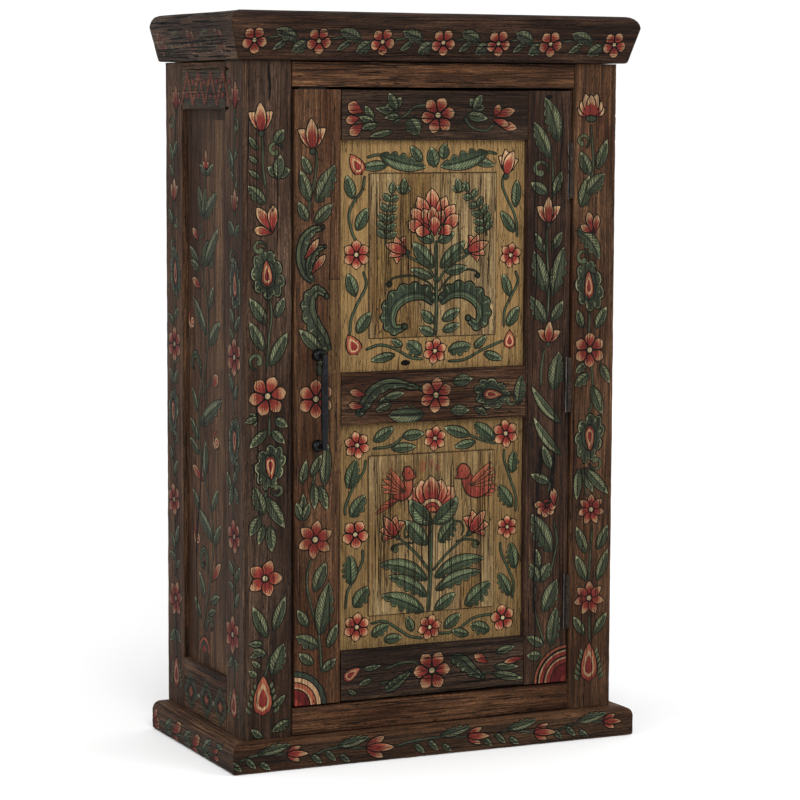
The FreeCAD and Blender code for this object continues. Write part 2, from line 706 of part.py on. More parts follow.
# Pull: a bar that swells to its middle, on two arms that stand on ball feet.

pull_x = f"({door_left} + dims.pull_in)"
bar_y = f"({front} - dims.pull_out)"
ball_half = "(dims.pull_ball / 2 * sin(dims.ball_cut))"
ball_deep = f"(2 * {ball_half})"
door_bolts = []
feet = {"bottom": f"({door_low} + dims.pull_low)", "top": f"({door_low} + dims.pull_low + dims.pull_span)"}
pull_screw = {"head": "(2 * dims.pull_screw_wide)", "deep": "dims.screw_head_deep",
              "wide": "dims.pull_screw_wide",
              "long": f"(dims.door_thick + {ball_deep} + dims.pull_screw_in)"}

grip = body("pull_grip", (pull_x, bar_y, feet["bottom"]))
end_radius = "(dims.pull_neck / 2)"
swell = "((dims.pull_middle - dims.pull_neck) / 2)"
bar_corners = [("0", "0"), (end_radius, "0"), (end_radius, "dims.pull_span"), ("0", "dims.pull_span")]
spots = [FreeCAD.Vector(*[float(dims.evalExpression(value)) for value in point]) for point in bar_corners]
crest = (spots[1] + spots[2]) / 2 + FreeCAD.Vector(float(dims.evalExpression(swell)), 0)
profile = new_sketch(grip, "BarProfile", "XZ_Plane")
for number, spot in enumerate(spots):
    following = spots[(number + 1) % len(spots)]
    side = Part.Arc(spot, crest, following) if number == 1 else Part.LineSegment(spot, following)
    profile.addGeometry(side, False)
close_loop(profile, len(spots))
for number, end, corner in ((0, 1, 0), (0, 2, 1), (2, 1, 2), (2, 2, 3)):
    bind(profile, number, end, bar_corners[corner], spots[corner])
bend = profile.addConstraint(Sketcher.Constraint("Radius", 1, profile.Geometry[1].Radius))
profile.setExpression(f"Constraints[{bend}]", f"((dims.pull_span / 2)^2 + {swell}^2) / (2 * {swell})")
full_turn = 360
bar = grip.newObject("PartDesign::Revolution", "Bar")
bar.Profile = profile
bar.ReferenceAxis = (profile, ["V_Axis"])
bar.Angle = full_turn

arm_long = f"(dims.pull_out - {ball_deep})"
for end, foot_z in feet.items():
    elbow = (pull_x, bar_y, foot_z)
    round_feature(grip, "AdditiveSphere", f"{end}Elbow", elbow, "z", {"Radius": end_radius})
    round_feature(grip, "AdditiveCylinder", f"{end}Arm", elbow, "y",
                  {"Radius": end_radius, "Height": arm_long})
    foot = body(f"pull_foot_{end}", (pull_x, f"{front} - {ball_half}", foot_z))
    ball_middle = (pull_x, f"{front} - {ball_half}", foot_z)
    round_feature(foot, "AdditiveSphere", "Ball", ball_middle, "y",
                  {"Radius": "dims.pull_ball / 2", "Angle1": "-dims.ball_cut", "Angle2": "dims.ball_cut"})
    spot = (pull_x, door_back, foot_z)
    for part, name in ((handle_stile, f"Pull{end}"), (foot, "Screw"), (grip, f"{end}Screw")):
        cutter = countersink if part is handle_stile else hole
        cutter(part, name, spot, "-y", pull_screw)
    door_bolts.append(fastener(f"PullScrew_{end}", spot, "-y", pull_screw))
group("pull_screws", door_bolts)


doc.recompute()
faults = [item.Label for item in doc.Objects if {"Invalid", "Error"} & set(item.State)]
faults += [part.Label for part in parts if part.Shape.isNull() or not part.Shape.isValid()]
if faults:
    raise RuntimeError(f"not built: {faults}")

os.makedirs("parts", exist_ok=True)
for part in parts:
    part.Shape.exportStep(f"parts/{part.Label}.step")
print(f"{len(parts)} sub-parts written")
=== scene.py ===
import bpy
import math
import random
import numpy as np
from functools import partial
from mathutils import Matrix, Vector, noise
from mathutils.geometry import delaunay_2d_cdt


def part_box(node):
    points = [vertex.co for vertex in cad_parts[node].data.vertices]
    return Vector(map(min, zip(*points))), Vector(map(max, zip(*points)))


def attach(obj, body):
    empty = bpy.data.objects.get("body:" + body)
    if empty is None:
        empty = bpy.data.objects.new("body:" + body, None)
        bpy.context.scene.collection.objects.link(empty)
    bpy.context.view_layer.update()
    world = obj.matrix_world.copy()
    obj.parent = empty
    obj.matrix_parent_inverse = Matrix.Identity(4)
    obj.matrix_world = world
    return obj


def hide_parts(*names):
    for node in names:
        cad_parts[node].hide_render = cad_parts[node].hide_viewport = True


# Kas cupboard: old boards, carved and painted with flowering vines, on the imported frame.
# Drawing sizes are millimetres, from the left end and the front face of the case and from the floor.
# Blender's own are metres.

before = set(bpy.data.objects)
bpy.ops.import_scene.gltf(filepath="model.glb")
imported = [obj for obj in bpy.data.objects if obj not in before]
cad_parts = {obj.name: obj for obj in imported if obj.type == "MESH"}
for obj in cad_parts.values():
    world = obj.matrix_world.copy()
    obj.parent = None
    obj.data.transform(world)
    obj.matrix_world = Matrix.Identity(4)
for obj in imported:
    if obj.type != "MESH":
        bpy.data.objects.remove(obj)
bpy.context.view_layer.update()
mm = 0.001


def nodeBox(node):
    low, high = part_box(node)
    return np.array(low) / mm, np.array(high) / mm


def boardBox(face, node):
    # a CAD node's box in the drawing of one face: p0, p1, q0, q1 and how far its front and back stand out
    corners = np.array(nodeBox(node)) - face["origin"]
    p, q, out = (sorted(corners @ np.array(face[axis], float)) for axis in ("p", "q", "out"))
    return p[0], p[1], q[0], q[1], out[1], out[0]


caseLow, leftStileHigh = nodeBox("front_stile_left")
rightStileLow, caseHigh = nodeBox("front_stile_right")
backHigh = nodeBox("side_stile_rear_left")[1][1]
caseWide = caseHigh[0] - caseLow[0]
caseDeep = backHigh - caseLow[1]


def faceAt(x, y, p, q, out):
    # one side of the case as a drawing: its origin and the ways that its axes and its front point
    return {"origin": np.array((x, y, 0)), "p": p, "q": q, "out": out}


frontFace = faceAt(caseLow[0], caseLow[1], (1, 0, 0), (0, 0, 1), (0, -1, 0))
leftFace = faceAt(caseLow[0], caseLow[1], (0, 1, 0), (0, 0, 1), (-1, 0, 0))
rightFace = faceAt(caseHigh[0], caseLow[1], (0, 1, 0), (0, 0, 1), (1, 0, 0))
backFace = faceAt(caseHigh[0], backHigh, (-1, 0, 0), (0, 0, 1), (0, 1, 0))
topFace = faceAt(caseLow[0], caseLow[1], (1, 0, 0), (0, 1, 0), (0, 0, 1))


def linear(colour):
    # sRGB hex to linear RGB
    values = [int(colour[place:place + 2], 16) / 255 for place in (1, 3, 5)]
    return tuple(v / 12.92 if v <= 0.04045 else ((v + 0.055) / 1.055) ** 2.4 for v in values)


ownNodes = ("Principled BSDF", "Background")  # these come with a new material or world


def addNode(tree, kind, values):
    # lower-case names are the node's own settings; other names and numbers are its sockets, which take
    # a number, a colour or a link. What comes back is the node's outputs.
    node = tree.nodes[kind] if kind in ownNodes else tree.nodes.new("ShaderNode" + kind)
    for key, value in values.items():
        if key == "stops":
            ramp = node.color_ramp
            while len(ramp.elements) < len(value):
                ramp.elements.new(1)
            for element, (place, colour) in zip(ramp.elements, value):
                element.position, element.color = place, (*linear(colour), 1)
        elif isinstance(key, str) and key[0].islower():
            setattr(node, key, value)
        elif isinstance(value, bpy.types.NodeSocket):
            tree.links.new(value, node.inputs[key])
        else:
            node.inputs[key].default_value = (*linear(value), 1) if isinstance(value, str) else value
    return node.outputs


def newMaterial(name):
    material = bpy.data.materials.new(name)
    material.use_nodes = True
    return material, partial(addNode, material.node_tree)


# Wood and paint

grainPatterns = {  # mm, across the grain and along it, and the noise; fibres are drawn coarser than real
    # ones, which are too fine to show in a render
    "fibre": (2.3, 42, {"Detail": 3}),
    "streak": (7, 230, {"Detail": 4, "Distortion": 0.6}),
    "line": (3.4, 130, {"Detail": 2, "Distortion": 0.3}),
    "split": (6.5, 170, {"Detail": 2, "Distortion": 0.9}),
    "patch": (60, 260, {"Detail": 2}),
    "pore": (2.5, 6, {"Detail": 2}),
    "wear": (3.0, 16, {"Detail": 4}),
    "worm": (34, 34, {"Randomness": 1.0}),
}
patternRanges = {  # the values of a pattern at which its effect starts and is whole
    "patch": {"From Min": 0.42, "From Max": 0.62},
    "pore": {"From Min": 0.44, "From Max": 0.6},
    "worm": {"From Min": 0.045, "From Max": 0.03},
    "gloss": {"From Min": 0.3, "From Max": 0.7},
}
paintWear = {  # parts of the wear noise, and of the bump
    "atSplits": 0.25, "starts": 0.1, "whole": 0.06, "thick": 0.12,
}


def woodMaterial(name, look, grain=None):
    # grain: None where the mesh carries its own grain places, otherwise the axis that the fibres follow
    material, add = newMaterial(name)
    if grain is None:
        place = add("Attribute", {"attribute_name": "grainPlace"})["Vector"]
    else:
        coords = add("TexCoord", {})["Object"]
        scaled = add("VectorMath", {"operation": "SCALE", 0: coords, "Scale": 1 / mm})[0]
        axes = add("SeparateXYZ", {0: scaled})
        order = {"x": ("Y", "X", "Z"), "y": ("X", "Y", "Z")}[grain]
        place = add("CombineXYZ", {number: axes[axis] for number, axis in enumerate(order)})[0]
    pattern = {}
    for word, (across, along, noiseLook) in grainPatterns.items():
        squeeze = {"operation": "MULTIPLY", 0: place, 1: (1 / across, 1 / along, 1 / across)}
        pattern[word] = add("TexVoronoi" if word == "worm" else "TexNoise",
                            {"Vector": add("VectorMath", squeeze)[0], "Scale": 1.0, **noiseLook})[0]
    sized = {word: add("MapRange", {"Value": pattern[word], **patternRanges[word]})[0]
             for word in ("patch", "pore", "worm")}
    fromMiddle = {}
    for word in ("split", "line"):  # both run where their noise crosses the middle value
        shifted = add("Math", {"operation": "SUBTRACT", 0: pattern[word], 1: 0.5})[0]
        fromMiddle[word] = add("Math", {"operation": "ABSOLUTE", 0: shifted})[0]
    split = add("MapRange", {"Value": fromMiddle["split"], "From Min": look["splitWide"],
                             "From Max": look["splitWide"] * 0.25})[0]
    shallow = add("MapRange", {"Value": fromMiddle["split"], "From Min": look["splitWide"] * 4,
                               "From Max": 0.0})[0]
    thinLine = add("MapRange", {"Value": fromMiddle["line"], "From Min": look["lineWide"],
                                "From Max": look["lineWide"] * 0.3})[0]

    multiply, mixed = {"operation": "MULTIPLY"}, {"data_type": "RGBA"}
    darken = mixed | {"blend_type": "MULTIPLY"}
    streaked = add("ValToRGB", {"stops": look["stops"], 0: pattern["streak"]})[0]
    toned = add("Mix", darken | {0: sized["patch"], 6: streaked, 7: look["tint"]})[2]
    strand = add("MapRange", {"Value": pattern["fibre"], "From Min": look["fibreSpread"][0],
                              "From Max": look["fibreSpread"][1]})[0]
    for gap, share in ((thinLine, "lineDark"), (sized["pore"], "poreDark")):
        dark = add("Math", multiply | {0: gap, 1: look[share]})[0]
        light = add("Math", {"operation": "SUBTRACT", 0: 1.0, 1: dark})[0]
        strand = add("Math", multiply | {0: strand, 1: light})[0]
    darkStrand = add("Mix", mixed | {0: strand, 6: look["deep"], 7: look["fibreLight"]})[2]
    colour = add("Mix", darken | {0: look["fibreMix"], 6: toned, 7: darkStrand})[2]
    for gap, share in ((split, "splitDark"), (sized["worm"], "worms")):
        dark = add("Math", multiply | {0: gap, 1: look[share]})[0]
        colour = add("Mix", mixed | {0: dark, 6: colour, 7: look["deep"]})[2]

    lines = add("Math", {"operation": "ADD", 0: thinLine, 1: sized["pore"]})[0]
    height = add("Math", multiply | {0: pattern["fibre"], 1: look["fibreHigh"]})[0]
    for gap, share in ((shallow, "splitDeep"), (lines, "lineDeep")):
        deep = add("Math", multiply | {0: gap, 1: look[share]})[0]
        height = add("Math", {"operation": "SUBTRACT", 0: height, 1: deep})[0]
    rough = add("MapRange", {"Value": pattern["fibre"], **patternRanges["gloss"],
                             "To Min": look["rough"] + 0.08, "To Max": look["rough"] - 0.06})[0]
    if grain is None:
        paint = add("Attribute", {"attribute_name": "paint"})
        torn = add("Math", multiply | {0: split, 1: paintWear["atSplits"]})[0]
        rubbed = add("Math", {"operation": "ADD", 0: pattern["wear"], 1: torn})[0]
        kept = add("MapRange", {"Value": rubbed, "From Min": look["worn"] + paintWear["starts"],
                                "From Max": look["worn"] - paintWear["whole"]})[0]
        cover = add("Math", multiply | {0: paint["Alpha"], 1: kept})[0]
        brushed = add("Mix", darken | {0: look["fibreMix"] * look["paintGrain"], 6: paint["Color"],
                                       7: darkStrand})[2]
        dark = add("Math", multiply | {0: split, 1: look["paintSplit"]})[0]
        dimmed = add("Mix", mixed | {0: dark, 6: brushed, 7: look["deep"]})[2]
        colour = add("Mix", mixed | {0: cover, 6: colour, 7: dimmed})[2]
        thick = add("Math", multiply | {0: cover, 1: paintWear["thick"]})[0]
        height = add("Math", {"operation": "ADD", 0: height, 1: thick})[0]
    bump = add("Bump", {"Strength": 1.0, "Distance": look["bump"] * mm, "Height": height})[0]
    add("Principled BSDF", {"Base Color": colour, "Roughness": rough, "Normal": bump, "IOR": 1.5,
                            "Specular IOR Level": look["gloss"]})
    return material


agedTeak = {  # reclaimed teak, hand-planed and waxed: grey-brown with dark streaks and long splits
    "stops": [(0.2, "#2a1f17"), (0.4, "#4b382b"), (0.55, "#5d4738"), (0.75, "#725946")],
    "tint": "#b5a79c", "deep": "#070403", "fibreLight": "#dcd4c9", "fibreSpread": (0.34, 0.56),
    "fibreMix": 0.6, "lineWide": 0.05, "lineDark": 0.75, "poreDark": 0.82,
    "splitWide": 0.018, "splitDark": 0.9, "splitDeep": 0.9, "paintSplit": 0.8, "worms": 0.8,
    "fibreHigh": 0.8, "lineDeep": 0.5, "bump": 1.3, "rough": 0.68, "gloss": 0.1, "worn": 0.7,
    "paintGrain": 0.7,
}
warmTeak = agedTeak | {  # the same wood from a younger board: orange-brown where the wax has gone
    "stops": [(0.2, "#301f14"), (0.4, "#553a26"), (0.55, "#6c4c34"), (0.75, "#826042")],
    "tint": "#bfae9f",
}
darkTeak = agedTeak | {  # smoke-darkened boards: nearly black brown, matt
    "stops": [(0.2, "#1d140d"), (0.4, "#36261d"), (0.55, "#453427"), (0.75, "#574232")],
    "tint": "#b0a399",
}
rubbedTeak = agedTeak | {  # dark wax rubbed off the proud edges: red-brown
    "stops": [(0.2, "#20140d"), (0.4, "#3b281d"), (0.55, "#4b3426"), (0.75, "#624632")],
    "tint": "#b5a597",
}
oiledTeak = agedTeak | {  # oiled and much handled: a warm mid brown
    "stops": [(0.2, "#291b11"), (0.4, "#4b3424"), (0.55, "#60442f"), (0.75, "#77573c")],
    "tint": "#b09c8c",
}
bareTeak = agedTeak | {  # unpainted rails: dry, open grain and a lighter brown
    "stops": [(0.2, "#2e1d12"), (0.4, "#553927"), (0.55, "#6d4b32"), (0.75, "#865f40")],
    "tint": "#b8a697", "splitWide": 0.028, "worms": 0.2, "rough": 0.74,
}
ochrePaint = agedTeak | {  # ochre milk paint brushed thin on teak and rubbed: chalky, with open grain
    "stops": [(0.2, "#6e583d"), (0.4, "#866f4f"), (0.55, "#978059"), (0.75, "#a69269")],
    "tint": "#d2c3aa", "deep": "#170e08", "fibreMix": 0.42, "paintSplit": 0.75, "rough": 0.74, "worn": 0.76,
    "paintGrain": 0.45,
}

painted = {name: woodMaterial(name, look) for name, look in {
    "waxedAgedTeak": agedTeak, "waxedWarmTeak": warmTeak, "smokedDarkTeak": darkTeak,
    "rubbedDarkWaxedTeak": rubbedTeak, "oiledTeak": oiledTeak, "dryBareTeak": bareTeak,
    "ochreMilkPaintOnTeak": ochrePaint}.items()}

print("materials made")


# Strokes of the painter's brush. An art is a list of layers, each over the ones before it.

paintColours = {
    "edge": "#090a07", "leafDark": "#222a20", "leaf": "#333b30", "leafLight": "#525b45", "sage": "#898c71",
    "crimson": "#621c1b", "coral": "#7f3028", "salmon": "#99553d", "cream": "#b18d69", "pale": "#aa9875",
    "crack": "#050302", "ochre": "#886c44", "ochreDark": "#2e2112", "bare": "#000000",
}
paintLift = {"ground": -0.35, "edge": -0.65, "fill": 0.0, "crack": -0.5}  # mm; the motifs stand in low relief
edgeWide = 2.7  # mm, the dark line round every shape
lightTouch = ("leaf", "leafLight", "sage")
creamRim = ("coral", "cream", "cream")
redRim = ("coral", "salmon", "cream")  # of petals with less cream


def layer(art, outline, colours, start=(0, 0), end=(1, 0), lift="fill", cover=1.0):
    # up to three colours, which run into each other from start to end
    stops = [linear(paintColours[name]) for name in (*colours, *colours[-1:] * 2)[:3]]
    art.append({"outline": outline, "stops": stops, "start": np.array(start, float),
                "end": np.array(end, float), "lift": paintLift[lift], "cover": cover})


def plain(art, outline, colour="edge", cover=1.0):
    # one colour; dark edges are grooves
    layer(art, outline, (colour,), lift="edge" if colour == "edge" else "fill", cover=cover)


def spline(points, steps=6):
    # a smooth line through given points
    spots = [np.array(point, float) for point in points]
    spots = [2 * spots[0] - spots[1], *spots, 2 * spots[-1] - spots[-2]]
    line = []
    for a, b, c, d in zip(spots, spots[1:], spots[2:], spots[3:]):
        for step in range(steps):
            u = step / steps
            line.append(0.5 * (2 * b + (c - a) * u + (2 * a - 5 * b + 4 * c - d) * u ** 2
                               + (3 * b - a - 3 * c + d) * u ** 3))
    line.append(spots[-2])
    return np.array(line)


def unitRows(rows):
    return rows / (np.linalg.norm(rows, axis=1)[:, None] + 1e-9)


def sideways(line):
    way = unitRows(np.gradient(line, axis=0))
    return np.stack([-way[:, 1], way[:, 0]], 1)


def crossOf(run):
    return np.array((-run[1], run[0])) / np.linalg.norm(run)


def ray(degrees):
    angle = math.radians(degrees)
    return np.array((math.cos(angle), math.sin(angle)))


def arc(x, z, radius, turn, squash=1.0):
    return np.stack([x + radius * np.cos(turn), z + radius * squash * np.sin(turn)], 1)


def boxed(left, right, low, high):
    return np.array([(left, low), (right, low), (right, high), (left, high)])


def sweep(line, leftHalf, rightHalf):
    side = sideways(line)
    return np.vstack([line + side * leftHalf[:, None], (line - side * rightHalf[:, None])[::-1]])


def stroke(art, line, half, colours, start=(0, 0), end=(1, 0)):
    layer(art, sweep(line, half, half), colours, start, end)


def widened(line, half, edge):
    # a swept shape with its dark edge, which runs past both ends
    way = line[-1] - line[-2]
    back = line[0] - line[1]
    longer = np.vstack([line[0] + back / (np.linalg.norm(back) + 1e-9) * edge, line,
                        line[-1] + way / (np.linalg.norm(way) + 1e-9) * edge])
    wider = np.concatenate([[0.2], half + edge * 0.85, [0.2]])
    return sweep(longer, wider, wider)


def swell(wide, u, full, blunt, ends):
    # half widths along a leaf or petal; a higher full moves its belly towards the tip
    half = wide / 2 * np.sin(np.pi * u ** full) ** blunt
    half[0] = half[-1] = ends
    return half


def disc(art, x, z, radius, colours, lift="fill", steps=10, squash=1.0):
    turn = np.linspace(0, 2 * math.pi, steps, endpoint=False)
    layer(art, arc(x, z, radius, turn, squash), colours, lift=lift)


leafShape = {  # mm, and shares of the leaf's half width
    "rim": 2.6, "litPlace": 0.46, "litWide": 0.3, "veinEvery": 9, "veinHalf": (0.2, 0.55, 0.3),
    "veinsFrom": 16, "ribFrom": 22, "ribHalf": 0.5,
}


def blade(art, tip, base, wide, bend=0.0, full=0.9, lobes=0, body=("leafDark", "leaf", "leaf"),
          light="leafLight", shine="sage", rib=True, edge=edgeWide):
    # one leaf: dark edge, worn rim, green core with a lit half, dark rib and thin light veins
    tip, base = np.array(tip, float), np.array(base, float)
    run = tip - base
    long = np.linalg.norm(run)
    cross = crossOf(run)
    steps = 6 * lobes + 1 if lobes else 9
    u = np.linspace(0, 1, steps)
    line = base + np.outer(u, run) + np.outer(4 * u * (1 - u) * bend, cross)
    half = swell(wide, u, full, 0.8, 0.25)
    hand = 1 if (bend or cross[1]) >= 0 else -1
    lobed = half * (0.62 + 0.62 * np.abs(np.sin(np.pi * lobes * u)) ** 0.75) if lobes else half
    left, right = (half, lobed) if hand > 0 else (lobed, half)  # the lobes hang from the lower side
    plain(art, sweep(line, left + edge * 0.8, right + edge * 0.8), cover=0.93)
    layer(art, sweep(line, left, right), (body[0], light, shine), base, tip)
    inner = max(0.5, 1 - leafShape["rim"] / wide)
    layer(art, sweep(line[1:-1], left[1:-1] * inner, right[1:-1] * inner), body, base, tip)
    if long <= leafShape["veinsFrom"]:
        return
    lit = (line + sideways(line) * (hand * half * leafShape["litPlace"])[:, None])[1:-1]
    stroke(art, lit, half[1:-1] * leafShape["litWide"], (body[1], light, light), base, tip)
    veins = max(2, int(long / leafShape["veinEvery"]))
    for number in range(veins):
        for way, reach in ((hand, 0.86), (-hand, 0.6)):
            root, crest = (np.array([np.interp(place, u, line[:, axis]) for axis in (0, 1)])
                           for place in (0.14 + 0.6 * number / veins, 0.3 + 0.6 * number / veins))
            crest = crest + way * reach * np.interp(0.3 + 0.6 * number / veins, u, half) * cross
            middle = (root + crest) / 2
            vein = np.array([root * 0.7 + middle * 0.3, middle, crest])
            width = np.array(leafShape["veinHalf"]) * (1.25 if way == hand else 0.8)
            stroke(art, vein, width, (light, shine) if way == hand else (light,), root, crest)
    if rib and long > leafShape["ribFrom"]:
        thin = np.full(steps - 3, leafShape["ribHalf"])
        plain(art, sweep(line[1:-2], thin, thin))


def leaf(art, tipX, tipZ, baseX, baseZ, wide=None, bend=0.0):
    long = math.hypot(tipX - baseX, tipZ - baseZ)
    blade(art, (tipX, tipZ), (baseX, baseZ), wide or max(7, 0.36 * long), bend)


def lobedLeaf(art, tipX, tipZ, baseX, baseZ, wide=None, bend=0.0):
    long = math.hypot(tipX - baseX, tipZ - baseZ)
    blade(art, (tipX, tipZ), (baseX, baseZ), wide or max(11, 0.44 * long), bend, lobes=3 if long < 45 else 5)


def petal(art, tip, base, wide, bend=0.0, full=1.5, red=0.78, rim=creamRim):
    # red is how far the red of its root runs up into the cream
    tip, base = np.array(tip, float), np.array(base, float)
    run = tip - base
    cross = crossOf(run)
    u = np.linspace(0, 1, 8)
    for share, narrow, colours in ((1, 1, None), (1, 1, rim), (red + 0.1, 0.8, ("coral", "coral", "salmon")),
                                   (red - 0.04, 0.6, ("crimson", "coral", "coral"))):
        line = base + np.outer(u * share, run) + np.outer(4 * u * (1 - u) * bend, cross)
        half = swell(wide * narrow, u, full, 0.7, wide * 0.05)
        if colours:
            stroke(art, line, half, colours, base, base + run * share)
        else:
            plain(art, widened(line, half, edgeWide))
    if wide > 9:  # thin light streaks from the tip inwards
        bow = np.outer(np.full(4, bend), cross)
        thin = np.array([0.15, 0.4, 0.55, 0.2])
        for hand in (-0.45, 0, 0.45):
            root = base + run * 0.5 + cross * hand * wide * 0.3
            crest = base + run * 0.9 + cross * hand * wide * 0.42
            stroke(art, spline([root, crest], 3) + bow, thin, ("salmon", "cream"), root, crest)


def rosette(art, x, z, radius, petals=6, turn=90, full=1.6, shape=0.8):
    middle = np.array((x, z), float)
    wide = 2 * radius * 0.62 * math.sin(math.pi / petals) * shape * 1.25
    for number in range(petals):
        way = ray(turn + 360 / petals * number)
        petal(art, middle + way * radius, middle + way * radius * 0.16, wide, full=full,
              red=0.7 + 0.13 * math.sin(number * 2.4 + x), rim=redRim)
    disc(art, x, z, radius * 0.24, ("edge",), "edge")
    disc(art, x, z, radius * 0.15, ("pale",))


def star(art, x, z, radius, petals=6, turn=90):
    rosette(art, x, z, radius, petals, turn, full=0.95, shape=0.72)


def outerFirst(petals):
    return sorted(range(petals), key=lambda number: -abs(number - (petals - 1) / 2))


def tulip(art, tipX, tipZ, baseX, baseZ, spread=28, petals=3):
    tip, base = np.array((tipX, tipZ), float), np.array((baseX, baseZ), float)
    run = tip - base
    long = np.linalg.norm(run)
    wide, red, rim = (0.42, 0.7, creamRim) if petals < 5 else (0.37, 0.84, redRim)
    for number in outerFirst(petals):
        off = number - (petals - 1) / 2
        cosine, sine = ray(-spread * off)
        turned = np.array((run[0] * cosine - run[1] * sine, run[0] * sine + run[1] * cosine))
        petal(art, base + turned * (1.06 - 0.2 * abs(off)), base, long * wide, bend=long * 0.1 * off,
              full=1.0, red=red, rim=rim)
    disc(art, *(base - run * 0.06), long * 0.14, ("edge",), "edge")
    disc(art, *(base - run * 0.06), long * 0.1, ("leafDark", "leaf"))


def lily(art, x, z, long):
    # pointed petals that open to one side
    for angle, share in ((-30, 0.7), (24, 0.72), (-4, 1.0)):
        way = ray(angle)
        petal(art, (x, z) + way * long * share, (x, z) + way * long * 0.06, long * 0.25, full=0.92,
              rim=redRim)


def ivy(art, x, z, size, turn=90):
    # a three-lobed leaf; turn is where its middle lobe points
    for angle, share in ((turn + 66, 0.7), (turn - 66, 0.7), (turn, 1.0)):
        way = ray(angle)
        blade(art, (x, z) + way * size * share, (x, z) - way * size * 0.34, size * 0.58, full=1.1,
              rib=False)


def bud(art, x, z, wide, high, petals=7):
    # an upright head of many short petals on a flat calyx
    for number in outerFirst(petals):
        angle = math.pi * (0.5 - 0.86 * (number / (petals - 1) - 0.5))
        rise = 0.22 + (0.78 - 0.12 * (number % 2)) * max(0, math.sin(angle))
        tip = (x + wide / 2 * math.cos(angle), z + high * rise)
        petal(art, tip, (x + wide * 0.12 * math.cos(angle), z + high * 0.1), wide * 0.29, full=1.4, red=0.6)
    disc(art, x, z + high * 0.3, wide * 0.24, ("crimson", "coral"), "fill", 14, 0.9)
    disc(art, x, z, wide * 0.24, ("edge",), "edge", 12, 0.55)
    disc(art, x, z, wide * 0.19, ("leafDark", "leaf"), "fill", 12, 0.5)


def drop(art, tipX, tipZ, baseX, baseZ, wide, rays=0):
    tip, base = np.array((tipX, tipZ), float), np.array((baseX, baseZ), float)
    run = tip - base
    cross = crossOf(run)
    for number in range(rays):  # little strokes that fan out around it
        for way in (1, -1):
            share = number / rays
            root = base + run * (0.06 + 0.78 * share) + cross * way * wide * (0.6 - 0.34 * share)
            crest = root + cross * way * (10 - 5 * share) + run * 0.15
            blade(art, crest, root, 5.4, bend=way * 1.5, body=("leaf", "leafLight"), rib=False, edge=1.3)
    u = np.linspace(0, 1, 10)
    for scale, colours in ((1.0, None), (1.0, ("coral", "salmon")), (0.72, ("cream",)),
                           (0.5, ("crimson", "coral"))):
        line = base + run * (1 - scale) * 0.38 + np.outer(u * scale, run)
        half = swell(wide * scale, u, 0.62, 0.7, 0.3)
        if colours:
            stroke(art, line, half, colours, base, tip)
        else:
            plain(art, widened(line, half, edgeWide))


def stem(art, points, wide=3.6, colours=("leafDark", "leaf", "leaf")):
    line = spline(points)
    half = np.full(len(line), wide / 2)
    half[0] = half[-1] = wide / 4
    plain(art, widened(line, half, 1.2), cover=0.9)
    stroke(art, line, half, colours, line[0], line[-1])
    if wide > 3:
        lit = line[1:-1] + sideways(line)[1:-1] * wide * 0.14
        stroke(art, lit, half[1:-1] * 0.25, ("leafLight",))


def curl(art, x, z, radius, turn=0, hand=1, sweepTurn=300, colours=("leafDark", "leaf", "leafLight")):
    # a tendril that winds in to a ball
    angles = np.radians(turn + hand * np.linspace(0, sweepTurn, 12))
    line = arc(x, z, radius * np.linspace(1, 0.4, 12), angles)
    half = np.linspace(1.2, radius * 0.25, 12)
    disc(art, *line[-1], radius * 0.34 + 1.2, ("edge",), "edge")
    plain(art, widened(line, half, 1.6))
    stroke(art, line, half, colours, line[0], line[-1])
    disc(art, *line[-1], radius * 0.34, colours[-1:])


def paisley(art, x, z, wide, high, lean=1):
    # scalloped leaf with a red drop in its middle; high < 0 hangs it upside down
    turn = np.linspace(0, 2 * math.pi, 66, endpoint=False)
    for grow, colours in ((edgeWide, ("edge",)), (0, ("leafLight", "sage", "leafLight")),
                          (-1.9, ("leafDark", "leaf"))):
        scallop = 0.78 + 0.27 * np.abs(np.sin(turn * 4.5)) ** 0.7
        ring = np.stack([x + lean * high * 0.07 * np.sin(turn) + (wide / 2 * scallop + grow) * np.cos(turn)
                         * (1 - 0.16 * np.sin(turn)),
                         z + (high / 2 * scallop + grow * math.copysign(1, high)) * np.sin(turn)], 1)
        layer(art, ring, colours, (x, z - high / 2), (x, z + high / 2), "edge" if grow > 0 else "fill")
    halfSize = np.array((wide / 2, high / 2))
    touchHalf, betweenHalf = np.array([0.4, 1.1, 1.5, 0.6]), np.array([0.3, 0.6, 0.9])
    for number in range(9):  # a light touch in each scallop, and a dark line between two of them
        way = halfSize * ray(number * 40 + 20)
        root, crest = (x, z) + way * 0.7, (x, z) + way * 0.92
        stroke(art, spline([root, crest], 3), touchHalf, lightTouch, root, crest)
        cosine, sine = ray(number * 40)
        way = halfSize * (cosine, sine) * (1 - 0.16 * sine, 1)
        between = np.array([(x, z) + way * share for share in (0.56, 0.7, 0.84)])
        plain(art, sweep(between, betweenHalf, betweenHalf))
    squash = abs(high / wide)
    disc(art, x, z - high * 0.02, wide * 0.29, ("edge",), "edge", 16, squash)
    disc(art, x, z - high * 0.02, wide * 0.29 - 1.3, ("leaf",), "fill", 16, squash)
    drop(art, x + lean * 2, z + high * 0.27, x, z - high * 0.25, wide * 0.31)
    curl(art, x + lean * wide * 0.26, z + high * 0.53, abs(high) * 0.16, 180 if lean > 0 else 0,
         -lean if high > 0 else lean)


def spun(art, x, z, degrees):
    # the same strokes turned about a point
    cosine, sine = ray(degrees)
    about = np.array((x, z), float)
    rotation = np.array(((cosine, sine), (-sine, cosine)))
    return [piece | {word: (piece[word] - about) @ rotation + about for word in ("outline", "start", "end")}
            for piece in art]


